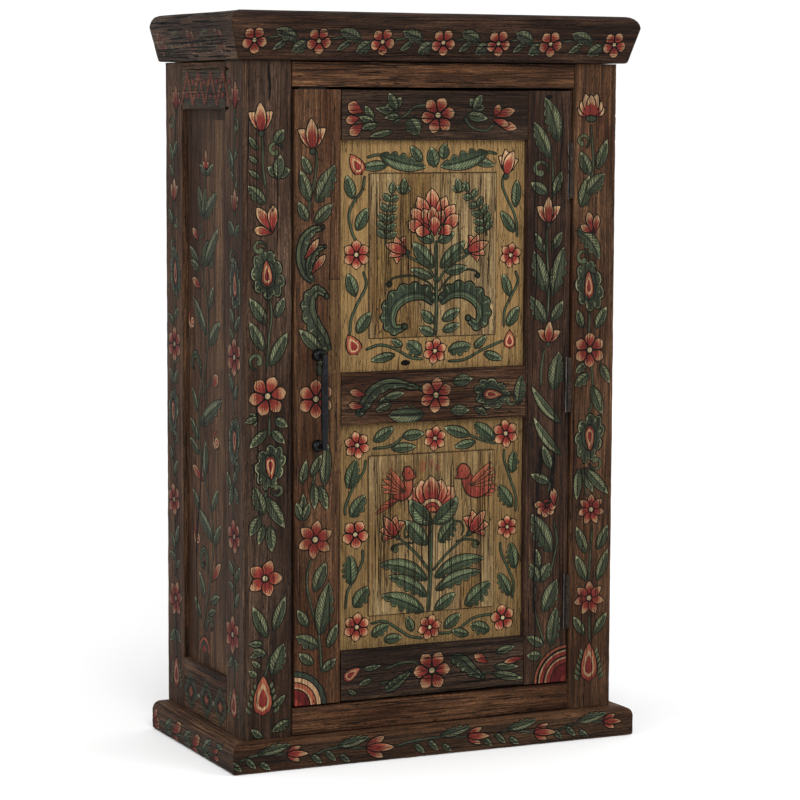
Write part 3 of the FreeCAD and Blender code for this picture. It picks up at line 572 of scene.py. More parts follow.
def sprig(art, points, leafLong, leafWide, pairs):
    line = spline(points, 8)
    stem(art, points, 2.6)
    way = line[-1] - line[0]
    way = way / np.linalg.norm(way)
    for number in range(pairs):
        spot = line[int((number + 1) / (pairs + 0.6) * (len(line) - 1))]
        for hand in (1, -1):
            out = np.array((-way[1], way[0])) * hand * 0.86 + way * 0.5
            blade(art, spot + out * leafLong * (1 - 0.25 * number / pairs), spot, leafWide, rib=False)
    blade(art, line[-1] + way * leafLong * 0.9, line[-1], leafWide, rib=False)


def plume(art, points, wide, lobes, hand):
    # a big scroll leaf with lobes on its outer side
    line = spline(points, 10)
    u = np.linspace(0, 1, len(line))
    half = np.maximum(wide / 2 * np.sin(np.pi * (0.04 + 0.94 * u ** 0.8)) ** 0.7, 1.6)
    lobed = half * (0.84 + 0.42 * np.abs(np.sin(np.pi * lobes * u)))
    left, right = (lobed, half * 0.8) if hand > 0 else (half * 0.8, lobed)
    rim, core = ("leaf", "leafLight", "leafLight"), ("leafDark", "leaf")
    plain(art, sweep(line, left + edgeWide, right + edgeWide))
    layer(art, sweep(line, left, right), rim, line[0], line[-1])
    coreLeft, coreRight = (np.maximum(half - 1.5, 0.4) for half in (left, right))
    layer(art, sweep(line, coreLeft, coreRight), core, line[0], line[-1])
    side = sideways(line)
    for number in range(lobes):
        middle = int((number + 0.5) / lobes * (len(line) - 1))
        root = line[middle] + side[middle] * hand * half[middle] * 0.1
        crest = line[middle] + side[middle] * hand * lobed[middle] * 0.9
        stroke(art, spline([root, crest], 3), np.array([0.3, 0.9, 1.3, 0.5]), lightTouch, root, crest)
    inner = line + side * (-hand * half * 0.4)[:, None]
    thin = half * 0.09 + 0.2
    stroke(art, inner[2:-2], thin[2:-2], rim, line[0], line[-1])
    thin = np.full(len(line) - 5, 0.7)
    plain(art, sweep(line[2:-3], thin, thin))
    disc(art, *line[-1], wide * 0.14 + edgeWide, ("edge",), "edge")
    disc(art, *line[-1], wide * 0.14, ("leaf",))


def tendril(art, points, ball):
    # a thin dark stroke that ends in a ball
    stem(art, points, 2.4, ("leafDark",))
    disc(art, *points[-1], ball + 1, ("edge",), "edge")
    disc(art, *points[-1], ball * 0.7, ("leafDark",))


def patchOf(art, outline, colours):
    # a given closed outline, with a dark edge
    shape = spline([*outline, outline[0]], 3)[:-1]
    plain(art, shape + unitRows(shape - shape.mean(0)) * edgeWide)
    layer(art, shape, colours, np.min(outline, axis=0), np.max(outline, axis=0))


def sun(art, x, z, hand, rings):
    # a quarter sun in a corner; rings go from the outside in
    turn = np.radians(np.linspace(0, 90, 14))
    for radius, colour in rings:
        rim = np.stack([x + hand * radius * np.cos(turn), z + radius * np.sin(turn)], 1)
        plain(art, np.vstack([[(x, z)], rim]), colour)


def arch(art, x, z, rings):
    # half-round rings from the outside in
    turn = np.radians(np.linspace(0, 180, 14))
    for radius, colour in rings:
        layer(art, arc(x, z, radius, turn), (colour,))


brushes = {  # in the order of painting: stems first, then leaves, then flowers
    "stem": lambda art, *points: stem(art, points),
    "thinStem": lambda art, *points: stem(art, points, 2.2),
    "curl": curl,
    "plume": plume,
    "tendril": tendril,
    "sprig": sprig,
    "leaf": leaf,
    "lobed": lobedLeaf,
    "ivy": ivy,
    "paisley": paisley,
    "creamPetal": lambda art, a, b, c, d, wide: petal(art, (a, b), (c, d), wide),
    "petal": lambda art, a, b, c, d, wide: petal(art, (a, b), (c, d), wide, rim=redRim),
    "drop": drop,
    "tulip": tulip,
    "lily": lily,
    "bud": bud,
    "star": star,
    "rosette": rosette,
}


def draw(plan):
    art = []
    for kind, brush in brushes.items():
        for values in plan.get(kind, ()):
            brush(art, *values)
    return art


# Boards. Each is one closed mesh: its outer skin is laid out flat, cut along every brush stroke, and
# folded round the board's section.

def filleted(points, arcSteps=4):
    # (place across, place out, radius) corners to a section line with rounded corners
    line = []
    for number, (a, o, radius) in enumerate(points):
        spot = np.array((a, o), float)
        if radius <= 0 or number in (0, len(points) - 1):
            line.append(spot)
            continue
        before = np.array(points[number - 1][:2], float) - spot
        after = np.array(points[number + 1][:2], float) - spot
        before /= np.linalg.norm(before)
        after /= np.linalg.norm(after)
        angle = math.acos(np.clip(before @ after, -1, 1))
        reach = radius / math.tan(angle / 2)
        middle = spot + (before + after) / np.linalg.norm(before + after) * radius / math.sin(angle / 2)
        first, last = spot + before * reach - middle, spot + after * reach - middle
        span = math.acos(np.clip(first @ last / radius ** 2, -1, 1))
        for step in range(arcSteps + 1):
            u = step / arcSteps
            arm = first * math.sin((1 - u) * span) + last * math.sin(u * span)
            line.append(middle + arm / math.sin(span))
    return np.array(line)


def boardSection(a0, a1, front, back, radius):
    line = filleted([(a0, back, 0), (a0, front, radius), (a1, front, radius), (a1, back, 0)])
    along = np.concatenate([[0], np.cumsum(np.linalg.norm(np.diff(line, axis=0), axis=1))])
    middle = (along[0] + along[-1]) / 2
    return line, along - middle + (a0 + a1) / 2


def newell(points):
    total = np.zeros(3)
    for a, b in zip(points, np.roll(points, -1, axis=0)):
        total += np.cross(a, b)
    return total


crackShape = {"across": (0.03, 0.97), "inBoard": 0.8, "piece": 14, "drift": 0.45}  # shares, then mm


def crackLines(rng, zone, count, wide, long):
    # random splits along the grain, each a crooked line with a half width
    spots = []
    left, right, low, high = zone
    for _ in range(count):
        length = rng.uniform(*long)
        s = left + rng.uniform(*crackShape["across"]) * (right - left)
        t = rng.uniform(low, max(low, high - crackShape["inBoard"] * length))
        steps = max(5, int(length / crackShape["piece"]))
        drift = np.cumsum([0] + [rng.gauss(0, crackShape["drift"]) for _ in range(steps)])
        line = np.stack([s + drift, t + np.linspace(0, length, steps + 1)], 1)
        spots.append((line, rng.uniform(*wide) / 2))
    return spots


def addObject(name, data):
    holder = bpy.data.objects.new(name, data)
    bpy.context.scene.collection.objects.link(holder)
    return holder


def cutPockets(piece, pockets):
    # takes plain pockets out of a board; each is a low and a high corner in drawing millimetres
    holders = []
    for low, high in pockets:
        low, high = np.array(low, float) * mm, np.array(high, float) * mm
        corners = [tuple(np.where(picks, high, low)) for picks in
                   ((x, y, z) for z in (0, 1) for x, y in ((0, 0), (1, 0), (1, 1), (0, 1)))]
        cutter = bpy.data.meshes.new("pocket")
        cutter.from_pydata(corners, [], [(3, 2, 1, 0), (4, 5, 6, 7), (0, 1, 5, 4), (1, 2, 6, 5), (2, 3, 7, 6),
                                         (3, 0, 4, 7)])
        holders.append(addObject("pocket", cutter))
        modifier = piece.modifiers.new("pocket", "BOOLEAN")
        modifier.object, modifier.solver = holders[-1], "EXACT"
    bpy.context.view_layer.update()
    whole = piece.data
    piece.data = bpy.data.meshes.new_from_object(piece.evaluated_get(bpy.context.evaluated_depsgraph_get()))
    piece.data.name = whole.name
    piece.modifiers.clear()
    for holder in holders:
        bpy.data.objects.remove(holder)


woodRelief = {  # mm: sizes of the waves, fibres and chips along and across the grain, and how deep they go
    "wave": (28, 190), "fibre": (4.5, 60), "fibreDeep": 0.22, "chipLong": (23, 7), "chipWide": 40,
    "chipReach": 3.2, "crackDeep": 0.9, "deepest": 3, "crackEdge": 0.05,
}
sharpAngle = 50  # degrees; folds steeper than this stay crisp
grainSpread = 4000  # mm; each board is cut from its own place in the grain


def makeBoard(name, face, nodes, slot, material, section, places, ends, arts, along="q", seed=1, cracks=10,
              crackWide=(0.8, 1.7), crackLong=(50, 260), ownCracks=(), crackZone=None, shape=None,
              extraLines=(), step=(5.0, 9.0), wearDeep=0.9, waveDeep=0.35, pockets=()):
    # section: (across, out) points of the skin, places: how far along the skin each of them lies,
    # ends: functions of the out place that give where the board starts and stops along its grain
    rng = random.Random(seed)
    startAt, stopAt = (lambda s, end=end: end(np.interp(s, places, section[:, 1])) for end in ends)
    low, high = float(np.min(startAt(places))), float(np.max(stopAt(places)))
    marks = [places[0]]
    for a, b in zip(places, places[1:]):
        pieces = max(1, int(round((b - a) / step[0])))
        marks += [a + (b - a) * number / pieces for number in range(1, pieces + 1)]
    rows = np.linspace(low, high, max(2, int(round((high - low) / step[1]))) + 1)
    points, edges, faces = [], [], []

    def add(spots):
        first = len(points)
        points.extend(Vector((float(s), float(t))) for s, t in spots)
        return list(range(first, len(points)))

    def addFace(spots):
        # the cutter needs every outline to run anticlockwise
        spots = np.array(spots, float)
        following = np.roll(spots, -1, axis=0)
        area = (spots[:, 0] * following[:, 1] - following[:, 0] * spots[:, 1]).sum()
        faces.append(add(spots if area > 0 else spots[::-1]))

    def inside(s, gap=1e-6):
        return [t for t in rows if startAt(s) + gap < t < stopAt(s) - gap]

    border = [(s, float(startAt(s))) for s in marks] + [(marks[-1], t) for t in inside(marks[-1])]
    border += [(s, float(stopAt(s))) for s in reversed(marks)]
    border += [(marks[0], t) for t in reversed(inside(marks[0]))]
    addFace(border)
    for s in marks[1:-1]:
        add([(s, t) for t in inside(s, step[1] * 0.3)])
    layers = []
    layer(layers, None, ("bare",), lift="ground", cover=0.0)
    for art, toSkin in arts:
        for piece in art:
            spots = toSkin(piece["outline"])
            if spots[:, 0].max() < places[0] or spots[:, 0].min() > places[-1] \
                    or spots[:, 1].max() < low or spots[:, 1].min() > high:
                continue
            addFace(spots)
            layers.append(piece | {word: toSkin(piece[word][None])[0] for word in ("start", "end")})
    lines = crackLines(rng, (places[0], places[-1], low, high), cracks, crackWide, crackLong)
    if crackZone:
        lines += crackLines(rng, *crackZone)
    lines += [(spline(spots, 4), wide / 2) for spots, wide in ownCracks]
    for line, half in lines:
        taper = half * np.sin(np.pi * np.linspace(0.03, 0.97, len(line))) ** 0.5
        addFace(sweep(line, taper, taper))
        layer(layers, None, ("crack",), lift="crack", cover=0.97)
        add(line[1:-1])
    for line in extraLines:
        first = add(line)
        edges += [(a, b) for a, b in zip(first, first[1:])]
    flat, _, tris, _, _, owners = delaunay_2d_cdt(points, edges, faces, 0, 1e-4, True)
    flat = np.array([tuple(v) for v in flat])
    kept = [(tri, max(owner)) for tri, owner in zip(tris, owners) if 0 in owner and len(tri) == 3]
    corners = np.array([tri for tri, _ in kept])
    top = np.array([owner for _, owner in kept])
    stops, start, end, cover, lifts = (np.array([piece[word] for piece in layers])
                                       for word in ("stops", "start", "end", "cover", "lift"))

    # places, colours and relief of every vertex
    s, t = flat[:, 0], flat[:, 1]
    a, o = (np.interp(s, places, section[:, column]) for column in (0, 1))
    tangent = unitRows(np.gradient(section, axis=0))
    facing = unitRows(np.stack([np.interp(s, places, values) for values in (-tangent[:, 1], tangent[:, 0])],
                               1))
    unset = -9.0
    lift = np.full(len(flat), unset)
    for column in range(3):
        np.maximum.at(lift, corners[:, column], lifts[top])
    lift[lift == unset] = 0
    for line, half in lines:
        near = np.where((s > line[:, 0].min() - 2) & (s < line[:, 0].max() + 2)
                        & (t > line[0, 1] - 1) & (t < line[-1, 1] + 1))[0]
        if not len(near) or len(line) < 3:
            continue
        fromLine = [spots[near][:, None] - line[None, 1:-1, axis] for axis, spots in enumerate((s, t))]
        gap = np.min(np.hypot(*fromLine), axis=1)
        lift[near[gap < woodRelief["crackEdge"]]] = -(woodRelief["crackDeep"] + half)
    (waveWide, waveLong), (fibreWide, fibreLong) = woodRelief["wave"], woodRelief["fibre"]
    bow = np.array([noise.noise((x / waveWide + seed * 7.3, y / waveLong, seed)) for x, y in zip(s, t)])
    fine = np.array([noise.noise((x / fibreWide, y / fibreLong + seed * 3.1, seed)) for x, y in zip(s, t)])
    corner = np.full(len(flat), 99.0)
    for number, (before, after) in enumerate(zip(np.diff(section, axis=0), np.diff(section, axis=0)[1:]), 1):
        size = np.linalg.norm(before) * np.linalg.norm(after)
        if np.dot(before, after) / (size + 1e-9) < 0.96:
            corner = np.minimum(corner, np.abs(s - places[number]))
    longChip, shortChip = woodRelief["chipLong"]
    chip = np.array([noise.noise((seed * 5.7, y / longChip, x / woodRelief["chipWide"])) * 0.6
                     + noise.noise((seed, y / shortChip, 3.0)) * 0.3 + 0.35 for x, y in zip(s, t)])
    relief = lift - waveDeep * (0.5 + 0.5 * bow) - woodRelief["fibreDeep"] * (0.5 + fine).clip(0, 1) \
        - wearDeep * chip.clip(0, 1.2) * np.exp(-(corner / woodRelief["chipReach"]) ** 2)
    relief = relief.clip(-woodRelief["deepest"], 0)
    onLeft, onRight = (np.abs(s - places[side]) < 1e-3 for side in (0, -1))
    relief[onLeft | onRight] = 0
    if shape is not None:
        o = o + shape(s, t)
    a, o = a + facing[:, 0] * relief, o + facing[:, 1] * relief
    local = np.stack([a, t, o] if along == "q" else [t, a, o], 1)
    axes = np.array([face["p"], face["q"], face["out"]], float)
    world = (face["origin"] + local @ axes) * mm

    colours = np.zeros((len(corners), 3, 4))
    way = end - start
    for column in range(3):
        spot = flat[corners[:, column]] - start[top]
        u = ((spot * way[top]).sum(1) / (way[top] ** 2).sum(1)).clip(0, 1)[:, None]
        colours[:, column, :3] = np.where(u < 0.5, stops[top, 0] * (1 - 2 * u) + stops[top, 1] * 2 * u,
                                          stops[top, 1] * (2 - 2 * u) + stops[top, 2] * (2 * u - 1))
        colours[:, column, 3] = cover[top]

    # close the skin with two ends and a back
    sides = [(int(first), int(second)) for tri in corners for first, second in zip(tri, np.roll(tri, -1))]
    known = set(sides)
    loop = {first: second for first, second in sides if (second, first) not in known}
    ring = [next(iter(loop))]
    while loop[ring[-1]] != ring[0]:
        ring.append(loop[ring[-1]])
    middle = (low + high) / 2
    atEnds = ~(onLeft | onRight)
    sideA, sideB = (sorted([v for v in ring if picks[v]], key=lambda v: t[v]) for picks in (onLeft, onRight))
    lowEnd, highEnd = (sorted([v for v in ring if picks[v]], key=lambda v: s[v])
                       for picks in (atEnds & (t < middle), atEnds & (t >= middle)))
    alongWay = axes[1] if along == "q" else axes[0]
    caps = [([sideA[0], *lowEnd, sideB[0]], -alongWay), ([sideA[-1], *highEnd, sideB[-1]], alongWay),
            (sideA + sideB[::-1], None)]
    centre = world.mean(0)
    triangles = corners.tolist()
    first, second, third = (world[corners[:, column]] for column in range(3))
    if (np.cross(second - first, third - first) @ axes[2]).sum() < 0:
        triangles = corners[:, ::-1].tolist()
        colours = colours[:, ::-1]
    closing = []
    for cap, way in caps:
        direction = way if way is not None else world[cap].mean(0) - centre
        if newell(world[cap]) @ direction < 0:
            cap = cap[::-1]
        closing.append([int(v) for v in cap])
    used = sorted({v for item in triangles + closing for v in item})
    index = {old: new for new, old in enumerate(used)}
    mesh = bpy.data.meshes.new(name)
    mesh.from_pydata(world[used].tolist(), [], [[index[v] for v in item] for item in triangles + closing])
    paint = mesh.attributes.new("paint", "FLOAT_COLOR", "CORNER")
    filled = np.zeros((len(mesh.loops), 4), np.float32)
    filled[:colours.size // 4] = colours.reshape(-1, 4)
    paint.data.foreach_set("color", filled.ravel())
    mesh.materials.append(painted[material])
    mesh.validate()
    piece = addObject(name, mesh)
    if len(pockets):
        cutPockets(piece, pockets)
        mesh = piece.data
    mesh.shade_smooth()
    mesh.set_sharp_from_angle(angle=math.radians(sharpAngle))
    # where each point lies in the wood: across the grain, along it and outwards
    spots = np.empty(len(mesh.vertices) * 3, np.float32)
    mesh.vertices.foreach_get("co", spots)
    local = (spots.reshape(-1, 3) / mm - face["origin"]) @ axes.T
    if along == "p":
        local = local[:, (1, 0, 2)]
    offset = [rng.uniform(0, grainSpread) for _ in range(3)]
    grainPlace = mesh.attributes.new("grainPlace", "FLOAT_VECTOR", "POINT")
    grainPlace.data.foreach_set("vector", (local + offset).astype(np.float32).ravel())
    body = "door" if nodes[0].startswith("door") else "carcass"
    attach(piece, body)
    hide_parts(*nodes)
    print("board", name, len(mesh.vertices))
    return piece


def straight(spots):
    return np.array(spots, float)


def swapped(spots):
    return np.array(spots, float)[:, ::-1]


def waxed(art, red, green):
    # the same strokes under darker wax: shares left of the reds and of the greens
    return [piece | {"stops": [tuple(np.array(stop) * (red if stop[0] > stop[1] else green))
                               for stop in piece["stops"]]} for piece in art]


def faded(art, share):
    # the same strokes, rubbed thin
    return [piece | {"cover": piece["cover"] * share, "lift": piece["lift"] * 0.6} for piece in art]


glazeStep = 8  # mm, between the points of an outline that has to follow the board's waves


def glaze(art, low, high, span, cover, colour="edge"):
    # a thin layer of one colour over part of a board: wax and wear, and also painted shade
    corners = boxed(*span, low, high).tolist()
    outline = np.vstack([np.linspace(a, b, int(math.dist(a, b) / glazeStep) + 2)[:-1]
                         for a, b in zip(corners, corners[1:] + corners[:1])])
    layer(art, outline, (colour,), lift="ground", cover=cover)


endGap = 0.25  # mm, how much shorter a board is at each end


def plainBoard(face, node, slot, material, arts=(), along="q", box=None, radius=2.2, ending="board", **more):
    # a straight board with rounded front edges
    p0, p1, q0, q1, front, back = box or boardBox(face, node)
    a0, a1, t0, t1 = (p0, p1, q0, q1) if along == "q" else (q0, q1, p0, p1)
    section, places = boardSection(a0, a1, front, back, radius)
    ends = (lambda out: t0 + endGap + 0 * out, lambda out: t1 - endGap + 0 * out)
    toSkin = straight if along == "q" else swapped
    pairs = [art if isinstance(art, tuple) else (art, toSkin) for art in arts]
    return makeBoard(f"{node}_{ending}", face, [node], slot, material, section, places, ends, pairs, along,
                     **more)


# Front frame: two painted uprights, and two bare rails between them

frontPlan = {
    "stem": [[(34, 1026), (35, 1000), (35, 975), (40, 940)], [(47, 762), (50, 735), (45, 700), (41, 650)],
        [(40, 455), (36, 430)], [(47, 185), (38, 152)], [(46, 575), (46, 540)], [(627, 1040), (629, 1015),
        (632, 975), (626, 940), (622, 905)], [(627, 725), (628, 710), (627, 690)], [(632, 640), (636, 600),
        (634, 570), (628, 555)], [(620, 462), (616, 450), (628, 412)], [(638, 362), (634, 310), (632, 268)],
        [(633, 210), (634, 185), (634, 165)]],
    "leaf": [(12, 1020, 27, 1000), (12, 990, 27, 978), (12, 967, 30, 955), (71, 1032, 56, 1010, 17),
        (12, 765, 42, 722, 18), (72, 765, 57, 732, 15), (12, 727, 37, 680, 18), (77, 708, 47, 655, 20),
        (77, 557, 55, 570, 15), (12, 525, 42, 552, 15), (72, 530, 50, 552, 14), (12, 383, 30, 415, 17),
        (50, 355, 47, 398, 17), (72, 393, 40, 445, 20), (27, 368, 36, 400, 12), (17, 267, 42, 215, 19),
        (73, 280, 53, 225, 18), (10, 207, 35, 205, 10), (12, 185, 36, 192, 10), (10, 163, 24, 152, 10),
        (16, 178, 30, 166, 9), (72, 118, 56, 100, 10), (14, 66, 34, 50, 11), (607, 995, 627, 955, 20),
        (658, 1015, 640, 965, 18), (625, 955, 610, 902, 22), (607, 718, 620, 700), (605, 730, 615, 700, 14),
        (660, 734, 640, 698, 17), (668, 605, 650, 638, 14), (655, 552, 634, 602, 19),
        (607, 408, 610, 462, 14), (638, 420, 618, 460, 14), (668, 415, 622, 462, 17),
        (607, 362, 627, 315, 17), (668, 362, 648, 320, 17), (607, 313, 627, 268, 17),
        (668, 320, 648, 267, 17), (603, 208, 625, 175, 15), (667, 210, 643, 175, 15)],
    "lobed": [(10, 943, 40, 915, 17), (20, 462, 36, 415, 19), (70, 203, 50, 153, 24), (18, 197, 40, 186, 12),
         (50, 60, 82, 76, 14), (653, 958, 620, 925, 24), (646, 815, 602, 866, 24, 6),
        (602, 602, 628, 622, 18), (603, 625, 622, 640, 13)],
    "curl": [(56, 1000, 13, 0, 1), (24, 664, 14, -90, -1), (612, 1013, 13, -60, 1)],
    "ivy": [(62, 962, 30, 84), (21, 572, 17, 200)],
    "paisley": [(43, 803, 54, 78, -1), (47, 492, 50, -70, 1), (627, 772, 50, 86, -1),
        (630, 512, 52, -80, 1)],
    "creamPetal": [(20, 874, 50, 868, 14), (25, 908, 51, 871, 17), (53, 911, 52, 871, 17),
        (610, 872, 629, 860, 11), (624, 894, 631, 861, 13), (641, 889, 637, 860, 12)],
    "tulip": [(31, 1071, 33, 1028, 33)],
    "bud": [(627, 1050, 50, 44)],
    "drop": [(35, 152, 33, 88, 31, 5), (634, 160, 634, 94, 30, 6)],
    "star": [(38, 312, 30, 5, 70), (635, 390, 26, 7, 90), (633, 238, 29, 7, 90)],
    "rosette": [(43, 607, 32, 6, 70), (629, 662, 29, 6, 90)],
}
# the side's uprights, in depth from the front face and height
sidePlan = {
    "stem": [[(36, 1062), (34, 1030), (36, 985), (34, 940)], [(40, 745), (36, 715), (37, 700)], [(38, 636),
        (42, 605), (40, 575)], [(40, 492), (44, 450), (42, 410)], [(42, 345), (36, 300), (44, 250)],
        [(45, 180), (42, 150), (42, 128)], [(300, 1062), (310, 1010), (312, 950)], [(305, 745), (312, 715),
        (317, 700)], [(317, 636), (312, 610), (318, 595)], [(318, 508), (320, 470), (317, 440)], [(317, 370),
         (310, 310), (315, 270)], [(315, 200), (312, 160), (310, 130)]],
    "leaf": [(20, 1000, 36, 985), (52, 965, 36, 950), (22, 950, 34, 935), (54, 745, 40, 720, 14),
        (12, 735, 36, 710, 15), (56, 712, 42, 695, 11), (60, 640, 44, 612, 14), (22, 625, 38, 600, 13),
        (70, 480, 48, 440, 18), (26, 490, 42, 462, 15), (20, 430, 40, 460, 15), (60, 425, 46, 462, 15),
        (12, 330, 36, 305, 14), (60, 335, 44, 312, 13), (62, 300, 42, 290, 11), (18, 287, 36, 262, 15),
        (66, 160, 45, 178, 13), (22, 160, 42, 176, 13), (298, 1010, 312, 985, 12), (330, 1005, 314, 975, 14),
         (330, 970, 314, 950, 12), (292, 730, 314, 712, 13), (340, 718, 316, 705, 12),
        (335, 625, 315, 600, 14), (298, 625, 312, 600, 14), (338, 492, 320, 470, 13),
        (300, 470, 318, 445, 14), (295, 360, 315, 325, 14), (335, 345, 312, 315, 14),
        (338, 310, 312, 300, 12), (290, 300, 312, 285, 12), (338, 155, 314, 178, 15),
        (288, 160, 312, 178, 13)],
    "lobed": [(60, 1000, 40, 968, 18), (60, 885, 36, 865, 18), (14, 880, 34, 862, 15),
        (338, 895, 318, 872, 15), (300, 655, 318, 632, 15)],
    "curl": [(26, 1038, 13, 0, 1), (303, 872, 12, 0, 1), (320, 1040, 12, 0, 1)],
    "paisley": [(33, 785, 44, 82, 1), (38, 532, 46, -74, -1), (306, 790, 44, 82, 1),
        (320, 552, 42, -76, -1)],
    "tulip": [(30, 1105, 32, 1064, 26, 5), (33, 935, 35, 900, 30), (300, 1100, 300, 1060, 26, 5),
        (310, 945, 312, 908, 30)],
    "drop": [(42, 128, 43, 78, 26, 5), (310, 130, 310, 80, 27, 5)],
    "star": [(47, 215, 31, 6, 90), (312, 232, 31, 6, 110)],
    "rosette": [(37, 668, 30, 6, 90), (39, 377, 27, 6, 80), (312, 668, 29, 6, 90), (318, 402, 27, 6, 80)],
}
# the vine on the sunk side panel
vinePlan = {
    "stem": [[(185, 958), (192, 925), (200, 890), (207, 870), (210, 830), (205, 805), (190, 770), (178, 735),
         (176, 700), (178, 675), (186, 650), (198, 622), (212, 600), (222, 570), (220, 530), (212, 490),
        (196, 452), (180, 425), (168, 404), (158, 378), (152, 350), (158, 325), (166, 300), (178, 262),
        (192, 230), (204, 200)], [(208, 592), (185, 606), (160, 620)], [(192, 860), (215, 850)], [(200, 775),
         (216, 768)], [(190, 452), (206, 448)], [(170, 290), (162, 284)]],
    "leaf": [(212, 973, 184, 956, 11), (151, 974, 183, 956, 11), (260, 836, 218, 808, 15),
        (128, 871, 196, 804, 24), (153, 774, 173, 735, 17), (123, 717, 174, 678, 26),
        (252, 600, 224, 560, 17), (260, 548, 222, 514, 18), (263, 514, 219, 491, 17),
        (190, 516, 193, 455, 23), (133, 441, 164, 402, 18), (249, 428, 214, 394, 18),
        (122, 383, 156, 345, 19), (130, 263, 172, 247, 15), (221, 292, 194, 250, 20),
        (242, 246, 213, 213, 16), (148, 237, 180, 226, 12)],
    "lobed": [(218, 936, 198, 886, 24), (136, 927, 196, 886, 26), (188, 932, 197, 888, 20),
        (256, 812, 216, 800, 15), (245, 752, 182, 692, 22), (114, 590, 220, 541, 26),
        (226, 398, 153, 352, 25)],
    "plume": [([(204, 800), (197, 826), (180, 842), (161, 835), (155, 818), (163, 808), (172, 813)], 11, 3,
        1), ([(212, 618), (216, 640), (230, 655), (246, 652), (252, 640), (245, 633)], 10, 3, 1),
        ([(182, 292), (182, 316), (196, 332), (212, 326), (215, 311), (205, 303), (197, 310)], 9, 3, -1),
        ([(192, 196), (182, 216), (168, 220), (160, 210), (167, 202)], 8, 2, 1)],
    "creamPetal": [(247, 866, 220, 848, 13), (248, 783, 210, 769, 14), (250, 468, 203, 448, 15),
        (123, 319, 163, 283, 15)],
}
sideBorder = {  # mm: places along the side's depth and heights
    "diamonds": (103, 167, 240), "diamondHigh": 84, "diamondHalf": (34, 33), "dots": (135, 203),
    "zigzagFrom": 58, "zigzag": (1070, 1124), "zigzagStep": 27, "dotRise": 38,
}


def sideBorders(art):
    # diamonds on the bottom rail and a zigzag on the top one
    z = sideBorder["diamondHigh"]
    for middle in sideBorder["diamonds"]:
        for scale, colour in ((1.05, "edge"), (1.0, "leafLight"), (0.94, "leaf"), (0.58, "edge"),
                              (0.52, "ochreDark"), (0.34, "edge"), (0.29, "salmon")):
            across, up = (size * scale for size in sideBorder["diamondHalf"])
            diamond = [(middle - across, z), (middle, z + up), (middle + across, z), (middle, z - up)]
            plain(art, np.array(diamond), colour, 0.85)
    for middle in sideBorder["dots"]:
        disc(art, middle, z, 4, ("sage",), steps=8)
    low, high = sideBorder["zigzag"]
    layer(art, boxed(56, 276, low - 4, high + 4), ("leaf",), lift="ground", cover=0.5)
    corners = [(sideBorder["zigzagFrom"] + number * sideBorder["zigzagStep"], high if number % 2 else low)
               for number in range(9)]
    for (x, foot), crest in zip(corners, corners[1:]):
        line = np.array([(x, foot), crest], float)
        for colour, half, cover in (("edge", 6.2, 0.5), ("crimson", 5.0, 0.6), ("salmon", 3.2, 0.55)):
            plain(art, sweep(line, np.full(2, half), np.full(2, half)), colour, cover)
        spot = foot + sideBorder["dotRise"] * (-1 if foot == high else 1)
        disc(art, x, spot, 6.5, ("edge",), "edge", 8)
        disc(art, x, spot, 5, ("crimson", "coral"), steps=8)


frontArt = draw(frontPlan)
leftArt, rightArt = waxed(frontArt, 0.97, (1.05, 1.0, 0.9)), waxed(frontArt, 0.76, (0.96, 0.9, 0.78))
sideArt = draw(sidePlan)
sideBorders(sideArt)
sideArt = waxed(sideArt, (0.66, 0.68, 0.8), 0.85)
vineArt = draw(vinePlan)
for y, z in ((252, 711), (141, 520), (230, 349)):  # pale buds that hang from the scrolls
    curl(vineArt, y, z, 17, 100, -1, 250, ("coral", "salmon", "cream"))
    for radius, colour in ((10.5, "edge"), (9, "cream"), (5.5, "coral"), (2.5, "cream")):
        disc(vineArt, y - 2, z - 2, radius, (colour,))
bud(vineArt, 185, 962, 26, 40, 3)
petal(vineArt, (133, 628), (156, 612), 20, full=1.2)
arch(vineArt, 198, 160, ((26, "edge"), (24, "salmon"), (19, "edge"), (17.5, "leaf"), (11, "edge"),
                         (10, "coral")))
vineArt = waxed(vineArt, (0.8, 0.8, 0.86), (0.95, 0.92, 0.9))
# the side panel's ground: painted shadow under its top rail, and a strip rubbed pale
vineShadowAndRub = []
for low, cover in ((980, 0.12), (1015, 0.26), (1046, 0.42)):  # painted shadow under the top rail, deeper towards it
    glaze(vineShadowAndRub, low, 1100, (60, 300), cover)
for low, high, cover in ((130, 640, 0.08), (640, 1046, 0.16)):  # a strip rubbed pale by the front upright
    for span, share in (((106, 113), 0.5), ((113, 134), 1), ((134, 142), 0.5)):
        glaze(vineShadowAndRub, low, high, span, cover * share, "cream")

darkFoot, warmFoot = [], []
for height, cover in ((640, 0.08), (560, 0.14), (440, 0.2)):  # darker towards the bottom
    glaze(darkFoot, 50, height, (-10, 90), cover)
glaze(warmFoot, 50, 980, (590, 690), 0.12)
ownSplits = {  # points and width of the few that are listed one by one
    "frontLeft": [([(45, 1139), (46, 1118), (48, 1098), (46, 1078)], 4.5),
                  ([(10, 1055), (11, 1010), (9, 975)], 2.4)],
    "side": [([(198, 560), (202, 520), (210, 470), (218, 420), (226, 380), (235, 330), (234, 270), (229, 220),
               (231, 150)], 6.5)],
    "doorRight": [([(520, 1000), (524, 940), (521, 880), (527, 800), (524, 740), (520, 700)], 2.6),
                  ([(571, 1090), (574, 1040), (570, 980), (573, 920)], 2.6),
                  ([(536, 500), (538, 478), (536, 452)], 7.0),
                  ([(562, 492), (563, 470), (559, 446), (561, 425)], 6.5),
                  ([(524, 420), (529, 340), (526, 260), (530, 200), (527, 120)], 3.2),
                  ([(583, 700), (580, 640), (584, 560), (581, 500)], 3.0),
                  ([(556, 880), (558, 820), (555, 760)], 2.2)],
}
